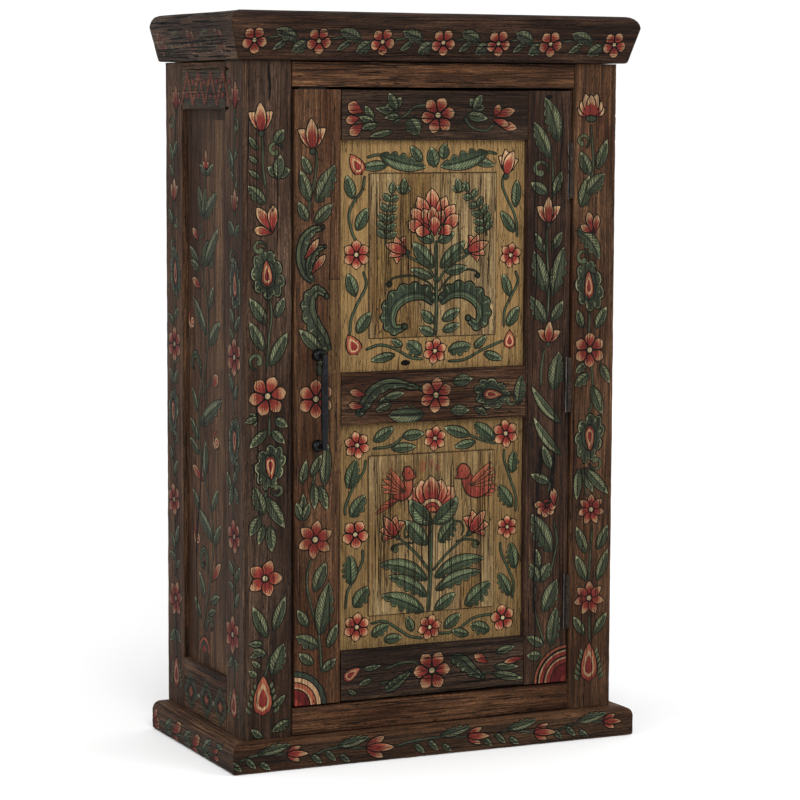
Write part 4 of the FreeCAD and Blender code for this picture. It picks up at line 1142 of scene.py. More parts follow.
# the side's painting runs on round the corner of the uprights
plainBoard(frontFace, "front_stile_left", "painted_frame_wood", "waxedAgedTeak",
           [darkFoot + leftArt, (sideArt, lambda spots: np.stack([-spots[:, 0], spots[:, 1]], 1))],
           radius=3.5, seed=3, cracks=16, ownCracks=ownSplits["frontLeft"])
plainBoard(frontFace, "front_stile_right", "painted_frame_wood", "waxedWarmTeak",
           [warmFoot + rightArt, (sideArt, lambda spots: np.stack([caseWide + spots[:, 0], spots[:, 1]], 1))],
           radius=3.5, seed=4, cracks=14)
for word, seed in (("top", 5), ("bottom", 6)):
    _, _, q0, q1, _, back = boardBox(frontFace, f"front_rail_{word}")
    plainBoard(frontFace, f"front_rail_{word}", "bare_rail_wood", "dryBareTeak", along="p",
               box=(leftStileHigh[0] - caseLow[0], rightStileLow[0] - caseLow[0], q0, q1, 0, back),
               seed=seed, cracks=22, crackLong=(40, 200), waveDeep=0.6)

print("front frame made")


# Sides: the same vine on both

panelTuck = 3  # mm, how far a panel runs into its frame
for word, face, firstSeed in (("left", leftFace, 11), ("right", rightFace, 31)):
    parts = {part: boardBox(face, f"side_{part}_{word}") for part in
             ("stile_front", "stile_rear", "rail_top", "rail_bottom", "panel")}
    frontEdge, rearEdge = parts["stile_front"][1], parts["stile_rear"][0]
    lowEdge, highEdge = parts["rail_bottom"][3], parts["rail_top"][2]
    for seed, (part, (p0, p1, q0, q1, front, back)) in enumerate(parts.items(), firstSeed):
        art, cracks, splits = sideArt, 9, ()
        if part.startswith("rail"):
            p0, p1 = frontEdge, rearEdge
        if part == "panel":
            p0, p1 = frontEdge - panelTuck, rearEdge + panelTuck
            q0, q1 = lowEdge - panelTuck, highEdge + panelTuck
            art, cracks, splits = vineShadowAndRub + vineArt, 14, ownSplits["side"]
        plainBoard(face, f"side_{part}_{word}", "painted_side_wood", "oiledTeak", [art],
                   "p" if part.startswith("rail") else "q", (p0, p1, q0, q1, front, back),
                   seed=seed, cracks=cracks, ownCracks=splits)

print("sides made")


# Door: two painted uprights, three dark rails and two ochre panels

doorStilePlan = {
    "stem": [[(127, 1000), (128, 980), (124, 950), (118, 925), (113, 895)], [(148, 682), (136, 660),
        (130, 636)], [(120, 340), (112, 315), (112, 290), (122, 250), (132, 215), (138, 150)], [(546, 872),
        (545, 840), (548, 800), (550, 760), (548, 720)], [(543, 668), (538, 640), (536, 605)], [(554, 985),
        (556, 950), (556, 920)], [(550, 700), (548, 680)], [(564, 375), (570, 340), (564, 310), (558, 285)],
        [(530, 268), (528, 230), (536, 200), (548, 165)], [(560, 460), (556, 440), (552, 425)], [(130, 520),
        (126, 480), (120, 455)]],
    "plume": [([(122, 788), (108, 803), (101, 828), (106, 856), (122, 872), (139, 876)], 18, 6, -1),
        ([(114, 800), (116, 822), (128, 840), (143, 845)], 12, 4, -1), ([(150, 676), (140, 698), (125, 720),
        (116, 743), (118, 763), (131, 774), (146, 765)], 24, 8, 1)],
    "leaf": [(103, 990, 118, 960, 14), (100, 967, 116, 917, 19), (96, 917, 113, 886, 15),
        (156, 913, 124, 882, 18), (98, 712, 137, 675, 19), (133, 662, 141, 635, 17),
        (147, 528, 142, 455, 18), (110, 500, 102, 462, 13), (137, 508, 118, 473, 14),
        (147, 418, 134, 458, 15), (125, 420, 124, 462, 14), (105, 446, 104, 403, 13),
        (93, 432, 102, 402, 12), (116, 430, 105, 402, 12), (145, 332, 124, 284, 21), (95, 256, 113, 228, 15),
         (165, 228, 148, 190, 15), (97, 184, 123, 165, 15), (163, 171, 138, 152, 14),
        (515, 944, 547, 926, 17), (572, 962, 558, 924, 15), (522, 861, 542, 828, 14),
        (574, 862, 556, 832, 14), (577, 746, 556, 712, 17), (520, 604, 576, 540, 15, 5),
        (524, 552, 577, 486, 15, 5), (542, 503, 558, 462, 15), (520, 456, 556, 440, 15),
        (530, 329, 537, 296, 13), (515, 180, 547, 163, 16), (515, 148, 543, 145, 16)],
    "lobed": [(160, 975, 128, 915, 27), (150, 298, 134, 212, 28), (93, 213, 132, 193, 21),
        (540, 1084, 564, 1012, 27, -4), (520, 1044, 551, 984, 22), (522, 830, 545, 762, 25),
        (577, 836, 557, 756, 25), (516, 755, 545, 710, 21), (570, 660, 560, 596, 27),
        (522, 388, 560, 322, 30), (556, 303, 537, 272, 19), (520, 304, 536, 272, 18),
        (570, 274, 545, 220, 25), (569, 226, 560, 160, 23)],
    "curl": [(532, 966, 16, -20, 1), (549, 402, 9, 60, 1, 300, ('coral', 'crimson', 'coral'))],
    "creamPetal": [(132, 857, 108, 826, 10), (143, 831, 120, 803, 11), (527, 405, 546, 401, 12),
        (533, 390, 547, 398, 12), (546, 382, 549, 397, 12), (560, 386, 553, 399, 12),
        (567, 398, 553, 403, 12), (562, 430, 564, 402, 12)],
    "tulip": [(119, 1046, 121, 1000, 36), (548, 917, 548, 876, 38), (552, 710, 550, 676, 46)],
    "star": [(126, 370, 31, 6, 82)],
    "rosette": [(127, 599, 31, 6, 90)],
}
railPlan = {
    "stem": [[(262, 1042), (285, 1055), (300, 1068), (325, 1072)], [(390, 1052), (405, 1035), (430, 1030),
        (445, 1040)], [(250, 146), (285, 155), (312, 152)], [(412, 126), (450, 124), (500, 114)],
        [(215, 600), (232, 604)], [(240, 122), (270, 128), (300, 140)]],
    "plume": [([(200, 568), (214, 590), (234, 612), (268, 620), (315, 609)], 20, 6, -1), ([(372, 157),
        (392, 150), (412, 132), (432, 118)], 22, 5, -1), ([(252, 110), (272, 120), (300, 140)], 16, 5, 1)],
    "leaf": [(213, 1070, 228, 1046, 12), (203, 1052, 230, 1044, 11), (206, 1034, 236, 1040, 11),
        (232, 1066, 272, 1060, 13), (248, 1051, 274, 1054, 10), (222, 1021, 262, 1029, 10),
        (433, 1050, 395, 1056, 15), (243, 153, 212, 149, 9), (205, 124, 228, 131, 9),
        (186, 116, 200, 108, 7), (491, 166, 455, 158, 12), (498, 131, 452, 135, 12),
        (506, 110, 448, 124, 14), (264, 600, 238, 588, 12), (284, 603, 248, 596, 12),
        (232, 575, 262, 586, 12), (409, 622, 372, 618, 19), (403, 570, 368, 571, 17),
        (436, 561, 412, 575, 11)],
    "lobed": [(309, 1024, 290, 1052, 25), (256, 567, 320, 566, 27, 1), (500, 624, 494, 574, 19)],
    "ivy": [(266, 1070, 24, 118), (411, 1069, 23, 60)],
    "petal": [(183, 1072, 207, 1060, 20), (179, 1046, 202, 1050, 14), (186, 1024, 208, 1040, 17),
        (187, 609, 214, 602, 11), (185, 587, 210, 583, 11), (416, 158, 440, 142, 14),
        (472, 140, 508, 146, 9), (483, 1064, 447, 1054, 14), (455, 1072, 446, 1054, 12),
        (487, 1034, 447, 1044, 14), (472, 1040, 444, 1048, 11)],
    "drop": [(205, 151, 178, 135, 17)],
    "rosette": [(343, 1055, 30, 6, 70), (342, 597, 29, 6, 85), (337, 137, 33, 6, 60)],
}
upperPlan = {
    "stem": [[(222, 987), (240, 991), (262, 988)], [(457, 992), (440, 995), (420, 992)], [(217, 957),
        (213, 935), (198, 915), (190, 895), (194, 870), (203, 850)], [(215, 802), (220, 780), (206, 752),
        (194, 725), (192, 700)], [(220, 675), (245, 682), (272, 675), (300, 660), (323, 656)], [(370, 651),
        (400, 653), (432, 668), (470, 682)], [(470, 958), (467, 940), (478, 915), (490, 893), (495, 870),
        (496, 854)], [(493, 798), (498, 780), (485, 755), (473, 732), (472, 705)], [(344, 697), (345, 740),
        (344, 780), (344, 850)], [(345, 695), (346, 740), (346, 780), (346, 850)], [(345, 782), (330, 806),
        (290, 828)], [(347, 782), (368, 808), (405, 828)]],
    "tendril": [([(343, 768), (330, 783), (302, 794), (272, 792), (262, 786), (260, 781)], 5), ([(350, 768),
        (372, 792), (400, 802), (418, 799), (421, 792)], 4.5)],
    "plume": [([(341, 748), (322, 764), (292, 764), (268, 748), (261, 724), (270, 708), (288, 711)], 29, 10,
        -1), ([(352, 748), (372, 765), (400, 766), (424, 750), (431, 727), (420, 711), (404, 722)], 28, 10,
        1)],
    "sprig": [([(254, 848), (255, 885), (264, 928)], 21, 10, 5), ([(437, 858), (428, 893), (403, 930)], 21,
        10, 5)],
    "leaf": [(300, 1005, 320, 980, 15), (337, 1003, 343, 970, 21), (362, 1009, 358, 983, 17),
        (212, 971, 258, 975, 15), (452, 973, 407, 985, 14), (186, 958, 197, 920, 17),
        (222, 905, 203, 869, 18), (188, 800, 202, 762, 18), (227, 736, 204, 702, 18),
        (267, 690, 286, 678, 10), (230, 657, 273, 665, 13), (439, 691, 417, 671, 12),
        (470, 651, 435, 663, 13), (495, 949, 492, 903, 16), (465, 897, 491, 862, 16),
        (470, 793, 483, 756, 15), (500, 738, 478, 706, 18), (308, 865, 341, 849, 17),
        (378, 863, 348, 849, 16), (302, 848, 341, 806, 24), (397, 848, 352, 806, 22),
        (298, 805, 338, 790, 13), (402, 806, 362, 799, 15), (318, 736, 342, 715, 15),
        (315, 709, 343, 696, 14), (388, 737, 356, 719, 16), (388, 712, 357, 702, 13)],
    "lobed": [(326, 971, 244, 991, 24, -3), (353, 972, 440, 995, 26, 3), (294, 686, 321, 664, 21),
        (411, 676, 369, 669, 20)],
    "ivy": [(285, 933, 20, 84), (386, 934, 18, 100)],
    "petal": [(336, 935, 340, 880, 24), (311, 922, 335, 878, 21), (362, 922, 345, 878, 20),
        (300, 903, 330, 872, 19), (378, 908, 352, 876, 20), (293, 880, 326, 868, 20),
        (384, 892, 356, 866, 20), (321, 902, 338, 872, 17), (356, 900, 346, 872, 17),
        (308, 868, 334, 864, 17), (373, 872, 350, 862, 17), (337, 906, 341, 868, 18),
        (341, 890, 342, 860, 19)],
    "drop": [(193, 991, 212, 961, 22), (189, 699, 205, 669, 24), (483, 698, 483, 669, 19)],
    "tulip": [(481, 999, 474, 957, 22, 4), (256, 845, 291, 833, 32, 5), (437, 846, 402, 833, 32, 5)],
    "rosette": [(203, 830, 23, 6, 90), (484, 824, 20, 6, 80), (345, 669, 21, 6, 80)],
}
lowerPlan = {
    "stem": [[(233, 512), (265, 515), (288, 529)], [(405, 528), (430, 518), (458, 510)], [(220, 494),
        (216, 475), (196, 445), (185, 420), (184, 405)], [(215, 346), (214, 325), (200, 300), (188, 275),
        (185, 250)], [(474, 500), (475, 480), (486, 450), (497, 420), (497, 393)], [(468, 343), (470, 325),
        (485, 295), (495, 270), (492, 246)], [(230, 222), (255, 224), (282, 208), (300, 196), (326, 190)],
        [(350, 196), (385, 198), (420, 218), (456, 222)], [(332, 236), (335, 290), (336, 340), (336, 388)],
        [(335, 236), (338, 290), (339, 340), (339, 388)], [(335, 304), (312, 333), (281, 361)], [(342, 304),
        (368, 331), (408, 362)]],
    "thinStem": [[(306, 352), (285, 352), (268, 349), (266, 342)], [(384, 350), (406, 352), (424, 348),
        (425, 341)], [(300, 368), (291, 362), (290, 374), (296, 382)], [(380, 384), (393, 382), (398, 370),
        (394, 360)]],
    "leaf": [(271, 545, 234, 524, 17), (326, 533, 286, 530, 16), (311, 512, 266, 511, 14),
        (363, 541, 411, 526, 17), (382, 508, 421, 515, 13), (287, 195, 254, 193, 15),
        (296, 229, 307, 203, 13), (394, 227, 364, 204, 18), (379, 199, 411, 190, 13),
        (292, 390, 331, 347, 25), (383, 263, 345, 237, 18)],
    "lobed": [(419, 546, 456, 517, 21), (203, 495, 190, 448, 21), (219, 436, 194, 401, 21),
        (193, 338, 195, 289, 23), (224, 284, 200, 251, 22), (493, 496, 490, 459, 17),
        (464, 440, 491, 401, 20), (488, 341, 497, 296, 20), (465, 291, 489, 251, 19),
        (263, 218, 231, 202, 17), (414, 207, 450, 194, 19), (383, 388, 353, 350, 24),
        (244, 319, 331, 288, 24, -9), (436, 318, 345, 291, 24, 9), (261, 299, 331, 261, 21, -5),
        (430, 297, 347, 270, 20, 6), (249, 268, 326, 235, 25, -4), (448, 278, 402, 240, 26)],
    "curl": [(273, 343, 6, 180, -1), (420, 342, 6, 0, 1)],
    "petal": [(300, 443, 335, 402, 34), (378, 441, 343, 402, 34), (319, 455, 337, 403, 31),
        (357, 454, 341, 403, 31), (337, 461, 339, 404, 30)],
    "tulip": [(253, 396, 276, 365, 33, 5), (436, 396, 410, 364, 33, 5)],
    "rosette": [(205, 519, 22, 6, 100), (346, 524, 20, 6, 80), (477, 526, 23, 6, 95), (202, 372, 23, 5, 60),
        (481, 368, 19, 6, 90), (205, 218, 23, 6, 85), (338, 208, 21, 6, 75), (474, 214, 22, 5, 100)],
}
birdPlan = [  # body and head outlines, the wing's root and feather tips, then the tail's
    ([(302, 458), (303, 444), (297, 431), (284, 425), (270, 430), (274, 439), (283, 447), (290, 460)],
     [(286, 467), (290, 477), (299, 478), (304, 470), (309, 463), (301, 459), (292, 458)],
     (292, 440), [(250, 440), (247, 450), (250, 461), (256, 471), (262, 478)],
     (284, 430), [(236, 404), (243, 412), (252, 420)]),
    ([(392, 462), (397, 446), (403, 431), (418, 423), (434, 425), (447, 436), (440, 446), (422, 451),
      (409, 462)],
     [(386, 470), (393, 478), (403, 476), (409, 466), (403, 456), (391, 456), (382, 457), (387, 463)],
     (408, 444), [(455, 446), (458, 458), (455, 470), (449, 480)],
     (428, 430), [(461, 441), (459, 432), (450, 425)]),
]
birdRed = ("crimson", "coral", "salmon")
feather = {"body": birdRed, "shine": "salmon", "rib": False, "edge": 2.0}


def addBirds(art):
    bird = []
    for body, head, wingRoot, wing, tailRoot, tail in birdPlan:
        for tip in tail:
            blade(bird, tip, tailRoot, 7, light="coral", **feather)
        patchOf(bird, body, birdRed)
        for tip in wing:
            blade(bird, tip, wingRoot, 8, light="salmon", **feather)
        patchOf(bird, head, birdRed)
        eye = np.mean(head, axis=0)
        disc(bird, eye[0], eye[1] + 2, 1.5, ("edge",), steps=7)
    art += [piece | {"cover": piece["cover"] * 0.9} for piece in bird]


def knot(art, x, z, across, up):
    disc(art, x, z, across, ("crack",), "edge", 9, up / across)


stileArt = waxed(draw(doorStilePlan), 0.86, (1.02, 0.97, 0.86))
sun(stileArt, 89, 98, 1, ((58, "edge"), (56, "leaf"), (49, "edge"), (47, "cream"), (40, "edge"),
                         (38, "salmon"), (31, "cream"), (29, "edge"), (27, "crimson"), (12, "coral")))
darkSun = []
sun(darkSun, 591, 98, -1, ((64, "edge"), (62, "salmon"), (58, "edge"), (54, "cream"), (51.5, "coral"),
                          (45, "edge"), (42, "cream"), (39.5, "coral"), (32, "edge"), (30, "crimson"),
                          (12, "coral")))
stileArt += waxed(darkSun, 0.62, 0.8)
for spot in ((547, 1086, 6, 4), (537, 471, 4, 9), (561, 462, 4, 8)):
    knot(stileArt, *spot)
leaning = []
paisley(leaning, 446, 595, 48, 64, 1)
railArt = waxed(draw(railPlan) + spun(leaning, 446, 595, -90), 0.78, (0.84, 0.82, 0.74))
upperArt = waxed(draw(upperPlan), 1.0, (0.82, 0.88, 0.78))
knot(upperArt, 292, 651, 9, 5)
lowerArt = draw(lowerPlan)
arch(lowerArt, 339, 403, ((23, "edge"), (21, "cream"), (16, "edge"), (14.5, "coral"), (9, "edge"),
                          (7.5, "salmon")))
for tipX, bend in ((299, 5), (386, -5)):  # the two sepals
    blade(lowerArt, (tipX, 425), (341, 383), 27, bend)
addBirds(lowerArt)
lowerArt = waxed(lowerArt, 1.0, (0.78, 0.84, 0.72))
stain = []
for x, z, radius, tall in ((323, 479, 6, 1.6), (338, 483, 4.5, 1.9), (349, 475, 5, 1.5)):  # smeared red
    disc(stain, x, z, radius, ("coral",), "fill", 9, tall)
lowerArt = faded(stain, 0.38) + lowerArt

doorBox = {part: boardBox(frontFace, f"door_{part}") for part in (
    "stile_left", "stile_right", "rail_top", "rail_middle", "rail_bottom", "panel_upper", "panel_lower")}
leftEdge, rightEdge = doorBox["stile_left"][1], doorBox["stile_right"][0]
doorBackSet = 0.3  # mm; lets the catch plate and the screw heads show on the door's back
# the knuckles sit in notches of the front corner, and the leaves are let in to the edge
hingeNotch = {"room": 0.6, "leafRoom": 0.1, "leafDeep": 2.1, "past": 2}  # mm
pinLow, pinHigh = nodeBox("hinge_pins")
doorEdge = nodeBox("door_stile_right")[1][0]
hingePockets = []
for word in ("top", "middle", "bottom"):
    leafLow, leafHigh = nodeBox(f"hinge_door_leaf_{word}")
    knuckleBack = pinLow[1] + pinHigh[1] - leafLow[1]
    room, leafRoom, past = (hingeNotch[size] for size in ("room", "leafRoom", "past"))
    hingePockets.append(((leafLow[0] - room, leafLow[1] - past, leafLow[2] - room),
                         (doorEdge + past, knuckleBack + room, leafHigh[2] + room)))
    hingePockets.append(((doorEdge - hingeNotch["leafDeep"], knuckleBack, leafLow[2] - leafRoom),
                         (doorEdge + past, leafHigh[1] + leafRoom, leafHigh[2] + leafRoom)))
# a lighter patch let in to the left upright
letIn = []
for foot, crest, cover in ((480, 640, 0.14), (640, 791, 0.26)):
    plain(letIn, boxed(149, 172, foot, crest), "ochre", cover)
layer(letIn, boxed(149, 171, 791, 792.6), ("crack",), lift="edge", cover=0.7)
for part, material, seed, cracks, cuts, splits in (
        ("stile_left", "waxedWarmTeak", 41, 16, (), ()),
        ("stile_right", "rubbedDarkWaxedTeak", 42, 30, hingePockets, ownSplits["doorRight"])):
    *sides, back = doorBox[part]
    plainBoard(frontFace, f"door_{part}", "painted_door_wood", material, [letIn + stileArt],
               box=(*sides, back + doorBackSet), radius=3, seed=seed, cracks=cracks, pockets=cuts,
               ownCracks=splits)
for part, wood, seed in (("rail_top", "smokedDarkTeak", 43), ("rail_middle", "oiledTeak", 44),
                         ("rail_bottom", "smokedDarkTeak", 45)):
    _, _, q0, q1, front, back = doorBox[part]
    plainBoard(frontFace, f"door_{part}", "dark_rail_wood", wood, [railArt], "p",
               (leftEdge, rightEdge, q0, q1, front, back + doorBackSet), seed=seed, cracks=18,
               crackLong=(60, 240))

panelShape = {"bevelWide": 53, "bevelRise": 3.0, "fieldRise": 2.0, "slope": 1.1, "tuck": 3.0}  # mm


def shrunk(box, by):
    return [value + hand * by for value, hand in zip(box, (1, -1, 1, -1))]


def doorPanel(word, low, high, art, seed, borderTone):
    edgeLevel = doorBox[f"panel_{word}"][4] - panelShape["bevelRise"] - panelShape["fieldRise"]
    opening = (leftEdge, rightEdge, low, high)
    field = shrunk(opening, panelShape["bevelWide"])

    def inset(box, s, t):
        return np.minimum(np.minimum(s - box[0], box[1] - s), np.minimum(t - box[2], box[3] - t))

    def shape(s, t):
        bevel = (inset(opening, s, t) / panelShape["bevelWide"]).clip(0, 1) * panelShape["bevelRise"]
        return bevel + (inset(field, s, t) / panelShape["slope"]).clip(0, 1) * panelShape["fieldRise"]

    def loop(inside, pieces=30):
        ring = boxed(*shrunk(field, inside)).tolist()
        ring.append(ring[0])
        return [(x0 + (x1 - x0) * k / pieces, z0 + (z1 - z0) * k / pieces)
                for (x0, z0), (x1, z1) in zip(ring, ring[1:]) for k in range(pieces)] + [ring[-1]]

    border, ground = [], []
    x0, x1, z0, z1 = field
    for sides in ((leftEdge, x0, low, high), (x1, rightEdge, low, high), (x0, x1, low, z0),
                  (x0, x1, z1, high)):
        layer(border, boxed(*sides), ("ochre",), lift="ground", cover=0.94)
    for sides in ((x0 - 1.6, x0 + 0.6, z0, z1), (x1 - 0.4, x1 + 1.2, z0, z1), (x0, x1, z0 - 1, z0 + 0.6),
                  (x0, x1, z1 - 0.6, z1 + 1.6)):  # painted shadow in the step round the field
        layer(ground, boxed(*sides), ("ochreDark",), lift="ground", cover=0.8)
    ground = waxed(border, borderTone, borderTone) + ground
    panel = plainBoard(
        frontFace, f"door_panel_{word}", "painted_panel_wood", "ochreMilkPaintOnTeak", [ground + art],
        box=(*shrunk(opening, -panelShape["tuck"]), edgeLevel, doorBox[f"panel_{word}"][5]), radius=0.8,
        seed=seed, cracks=9, crackWide=(0.6, 1.1), crackLong=(20, 90), shape=shape, wearDeep=0, waveDeep=0.3,
        crackZone=((x0 + 3, x1 - 3, z0 + 2, z1 - 2), 120, (0.7, 1.5), (16, 170)), step=(5.0, 7.0),
        extraLines=(loop(0), loop(panelShape["slope"])))
    panel.data.materials.append(painted["oiledTeak"])  # the side that faces the shelves has no paint
    facesIn = 0.9  # how squarely a face has to point inwards
    for polygon in panel.data.polygons:
        polygon.material_index = int(polygon.normal.y > facesIn)


doorPanel("upper", doorBox["rail_middle"][3], doorBox["rail_top"][2], upperArt, 51, 0.94)
doorPanel("lower", doorBox["rail_bottom"][3], doorBox["rail_middle"][2], lowerArt, 52, 0.72)

print("door made")


# Cornice and plinth: moulded boards with mitred corners

topLow = nodeBox("top_board")[0]
cornice = {  # mm: the section's corners, outward from the case's face
    "low": nodeBox("cornice_front")[0][2], "high": nodeBox("cornice_front")[1][2],
    "reach": caseLow[1] - nodeBox("cornice_front")[0][1], "foot": 12, "footRound": 6, "lip": 21,
    "lipRound": 2, "round": 19, "inner": -22, "seat": caseLow[0] - topLow[0], "seatLow": topLow[2],
}
corniceCorners = [
    (cornice["low"], cornice["inner"], 0), (cornice["low"], cornice["foot"], cornice["footRound"]),
    (cornice["high"] - cornice["lip"], cornice["reach"], cornice["lipRound"]),
    (cornice["high"], cornice["reach"], cornice["round"]),
    (cornice["high"], cornice["seat"], 0), (cornice["seatLow"], cornice["seat"], 0),
    (cornice["seatLow"], cornice["inner"], 0)]
plinth = {"high": nodeBox("plinth_front")[1][2], "reach": caseLow[1] - nodeBox("plinth_front")[0][1],
          "round": 13, "footRound": 4, "inner": -22}
plinthCorners = [(0, plinth["inner"], 0), (0, plinth["reach"], plinth["footRound"]),
                 (plinth["high"], plinth["reach"], plinth["round"]), (plinth["high"], plinth["inner"], 0)]

corniceRosettes = {"front": (13, 123, 234, 342, 442, 538, 658), "side": (47, 172, 313)}
corniceMiddle = 1172


def cornicePlan(spots):
    # rosettes with a leafy stem from each one to the next
    z = corniceMiddle
    plan = {"stem": [], "leaf": [], "lobed": [], "rosette": [(x, z, 21, 5, 60) for x in spots]}
    for x, following in zip(spots, spots[1:]):
        room = following - x
        plan["stem"].append([(x + 20, z + 3), (x + 0.45 * room, z + 6), (x + 0.7 * room, z - 4),
                             (following - 18, z + 2)])
        plan["lobed"].append((x + 0.32 * room, z + 17, x + 0.66 * room, z + 4, 19))
        plan["lobed"].append((x + 0.6 * room, z - 17, x + 0.82 * room, z - 1, 18))
        plan["leaf"].append((x + 0.3 * room, z - 14, x + 0.5 * room, z + 1, 10))
    return plan


def plinthPlan(lilies):
    # lilies on stems with leaves as room allows
    plan = {"stem": [], "leaf": [], "lobed": [], "lily": lilies}
    for (x, z, _), before in zip(lilies, (-70, *[spot[0] for spot in lilies])):
        room = x - before
        plan["stem"].append([(before + 50, 22), (before + 0.6 * room, 30), (x, z)])
        plan["lobed"].append((x + 7, 43, x - 50, 32, 13, -1))
        for offset, tipZ, rootZ in ((-78, 7, 23), (-53, 9, 27), (-28, 5, 18)):
            if offset > 25 - room:
                plan["leaf"].append((x + offset, tipZ, x + offset - 18, rootZ, 9.5))
    return plan


plinthSidePlan = {
    "stem": [[(352, 14), (300, 20), (250, 12), (200, 18), (150, 12), (100, 16), (60, 14)]],
    "leaf": [(80, 8, 112, 6, 9), (170, 9, 196, 8, 9), (262, 9, 290, 8, 9), (20, 34, 50, 36, 8)],
    "lobed": [(72, 38, 112, 12, 17), (163, 33, 198, 14, 15), (254, 34, 290, 14, 15)],
    "petal": [(211, 36, 250, 14, 18), (123, 32, 158, 12, 19), (226, 6, 252, 9, 8), (134, 5, 160, 8, 8),
        (316, 18, 346, 16, 13), (328, 37, 348, 18, 12), (318, 7, 344, 12, 9), (40, 28, 62, 20, 8),
        (38, 13, 60, 12, 8)],
}
mouldingLook = {"crackLong": (60, 300), "step": (4.5, 9.0), "wearDeep": 1.3}
mitreGap = 0.15  # mm


def moulding(word, part, face, corners, art, stop, material, seed, rise, **more):
    # the painting keeps to the part of the section that climbs from one height to the other
    section = filleted(corners, 5)
    places = np.concatenate([[0], np.cumsum(np.linalg.norm(np.diff(section, axis=0), axis=1))])
    order = np.where((section[:, 0] > rise[0]) & (section[:, 0] < rise[1]) & (section[:, 1] > 0))[0]

    def toSkin(spots):
        return np.stack([np.interp(spots[:, 1], section[order, 0], places[order]), spots[:, 0]], 1)

    makeBoard(f"{word}_{part}_moulding", face, [f"{word}_{part}"], f"{word}_wood", material, section, places,
              (lambda out: mitreGap - out, stop), [(art, toSkin)], "p", seed, **(mouldingLook | more))


corniceFront = waxed(draw(cornicePlan(corniceRosettes["front"])), 0.82, (0.74, 0.7, 0.66))
corniceSide = waxed(draw(cornicePlan(corniceRosettes["side"])), (0.62, 0.7, 0.9), 0.8)
plinthFront, plinthSide = [], []
glaze(plinthFront, 3, 41, (-40, 720), 0.5)
glaze(plinthSide, 3, 41, (-40, 360), 0.4)
plinthLilies = [(63, 28, 38), (203, 25, 52), (388, 27, 42), (513, 22, 42), (646, 29, 36)]
plinthFront += waxed(draw(plinthPlan(plinthLilies)), 0.84, (0.86, 0.86, 0.82))
plinthSide += waxed(draw(plinthSidePlan), 0.84, 0.86)
frontStop = lambda out: caseWide + out - mitreGap
sideStop = lambda out: caseDeep + 0 * out - 0.2
sideSplits = {"cracks": 100, "crackWide": (1.4, 4.2), "crackLong": (20, 150), "waveDeep": 1.1}
for part, face, corniceArt, plinthArt, stop, wood, seed, splits in (
        ("front", frontFace, corniceFront, plinthFront, frontStop, "rubbedDarkWaxedTeak", 61, {"cracks": 40}),
        ("left", leftFace, faded(corniceSide, 0.42), plinthSide, sideStop, "waxedAgedTeak", 62, sideSplits),
        ("right", rightFace, faded(corniceSide, 0.5), plinthSide, sideStop, "waxedAgedTeak", 63, sideSplits)):
    moulding("cornice", part, face, corniceCorners, corniceArt, stop, wood, seed,
             (cornice["low"] + 0.5, cornice["high"] - 0.5), **splits)
    moulding("plinth", part, face, plinthCorners, plinthArt, stop, "waxedWarmTeak", seed + 5,
             (0.5, plinth["high"] - 0.5), cracks=14)

print("mouldings made")


# Top and back: bare boards that have weathered

plainBoard(topFace, "top_board", "plain_inner_wood", "waxedAgedTeak", along="p", radius=0.8, ending="planks",
           seed=71, cracks=60, crackWide=(0.8, 2.6), crackLong=(40, 300), step=(7, 12), waveDeep=0.8)
for seed, word in enumerate(("left", "middle", "right"), 74):
    plainBoard(backFace, f"back_board_{word}", "plain_inner_wood", "dryBareTeak", radius=0.6, ending="plank",
               seed=seed, cracks=22, crackLong=(60, 300), step=(8, 14), waveDeep=0.4)

print("top and back made")


# Plain boards and metal, on the CAD's own meshes

def metalMaterial(name, look):
    material, add = newMaterial(name)
    coords = add("TexCoord", {})["Object"]
    mottle, hammer = (add("TexNoise", {"Vector": coords, "Scale": 1 / (look[size] * mm), "Detail": detail})[0]
                      for size, detail in (("mottleSize", 4.0), ("hammerSize", 1.0)))
    tone = add("ValToRGB", {"stops": look["stops"], 0: mottle})[0]
    rough = add("MapRange", {"Value": mottle, **patternRanges["gloss"], "To Min": look["rough"] - 0.1,
                             "To Max": look["rough"] + 0.12})[0]
    bump = add("Bump", {"Strength": 1.0, "Distance": look["bump"] * mm, "Height": hammer})[0]
    add("Principled BSDF", {"Base Color": tone, "Roughness": rough, "Normal": bump,
                            "Metallic": look["metallic"]})
    return material


blackForgedIron = {  # wrought iron, forged and wax-blacked: dark with a blue-grey sheen and soft hammer marks
    "stops": [(0.3, "#08080a"), (0.6, "#0f1014"), (0.8, "#1c1e24")], "mottleSize": 9, "hammerSize": 6,
    "bump": 0.35, "rough": 0.3, "metallic": 0.75,
}
bronzedIron = {  # rolled steel leaf, bronzed and rubbed: brown-grey with brighter worn spots
    "stops": [(0.3, "#17120e"), (0.55, "#29211b"), (0.8, "#463b31")], "mottleSize": 7, "hammerSize": 3,
    "bump": 0.12, "rough": 0.55, "metallic": 0.85,
}
zincSteel = {  # drawn and zinc-plated wire: grey with dull bloom
    "stops": [(0.3, "#5c5b57"), (0.6, "#7d7c78"), (0.8, "#9a9892")], "mottleSize": 4, "hammerSize": 2,
    "bump": 0.05, "rough": 0.4, "metallic": 1.0,
}
brownPlastic = {  # injection-moulded ABS with a fine spark finish: flat dark brown
    "stops": [(0.3, "#2d211a"), (0.6, "#35271f"), (0.8, "#3c2d24")], "mottleSize": 5, "hammerSize": 0.8,
    "bump": 0.08, "rough": 0.5, "metallic": 0.0,
}
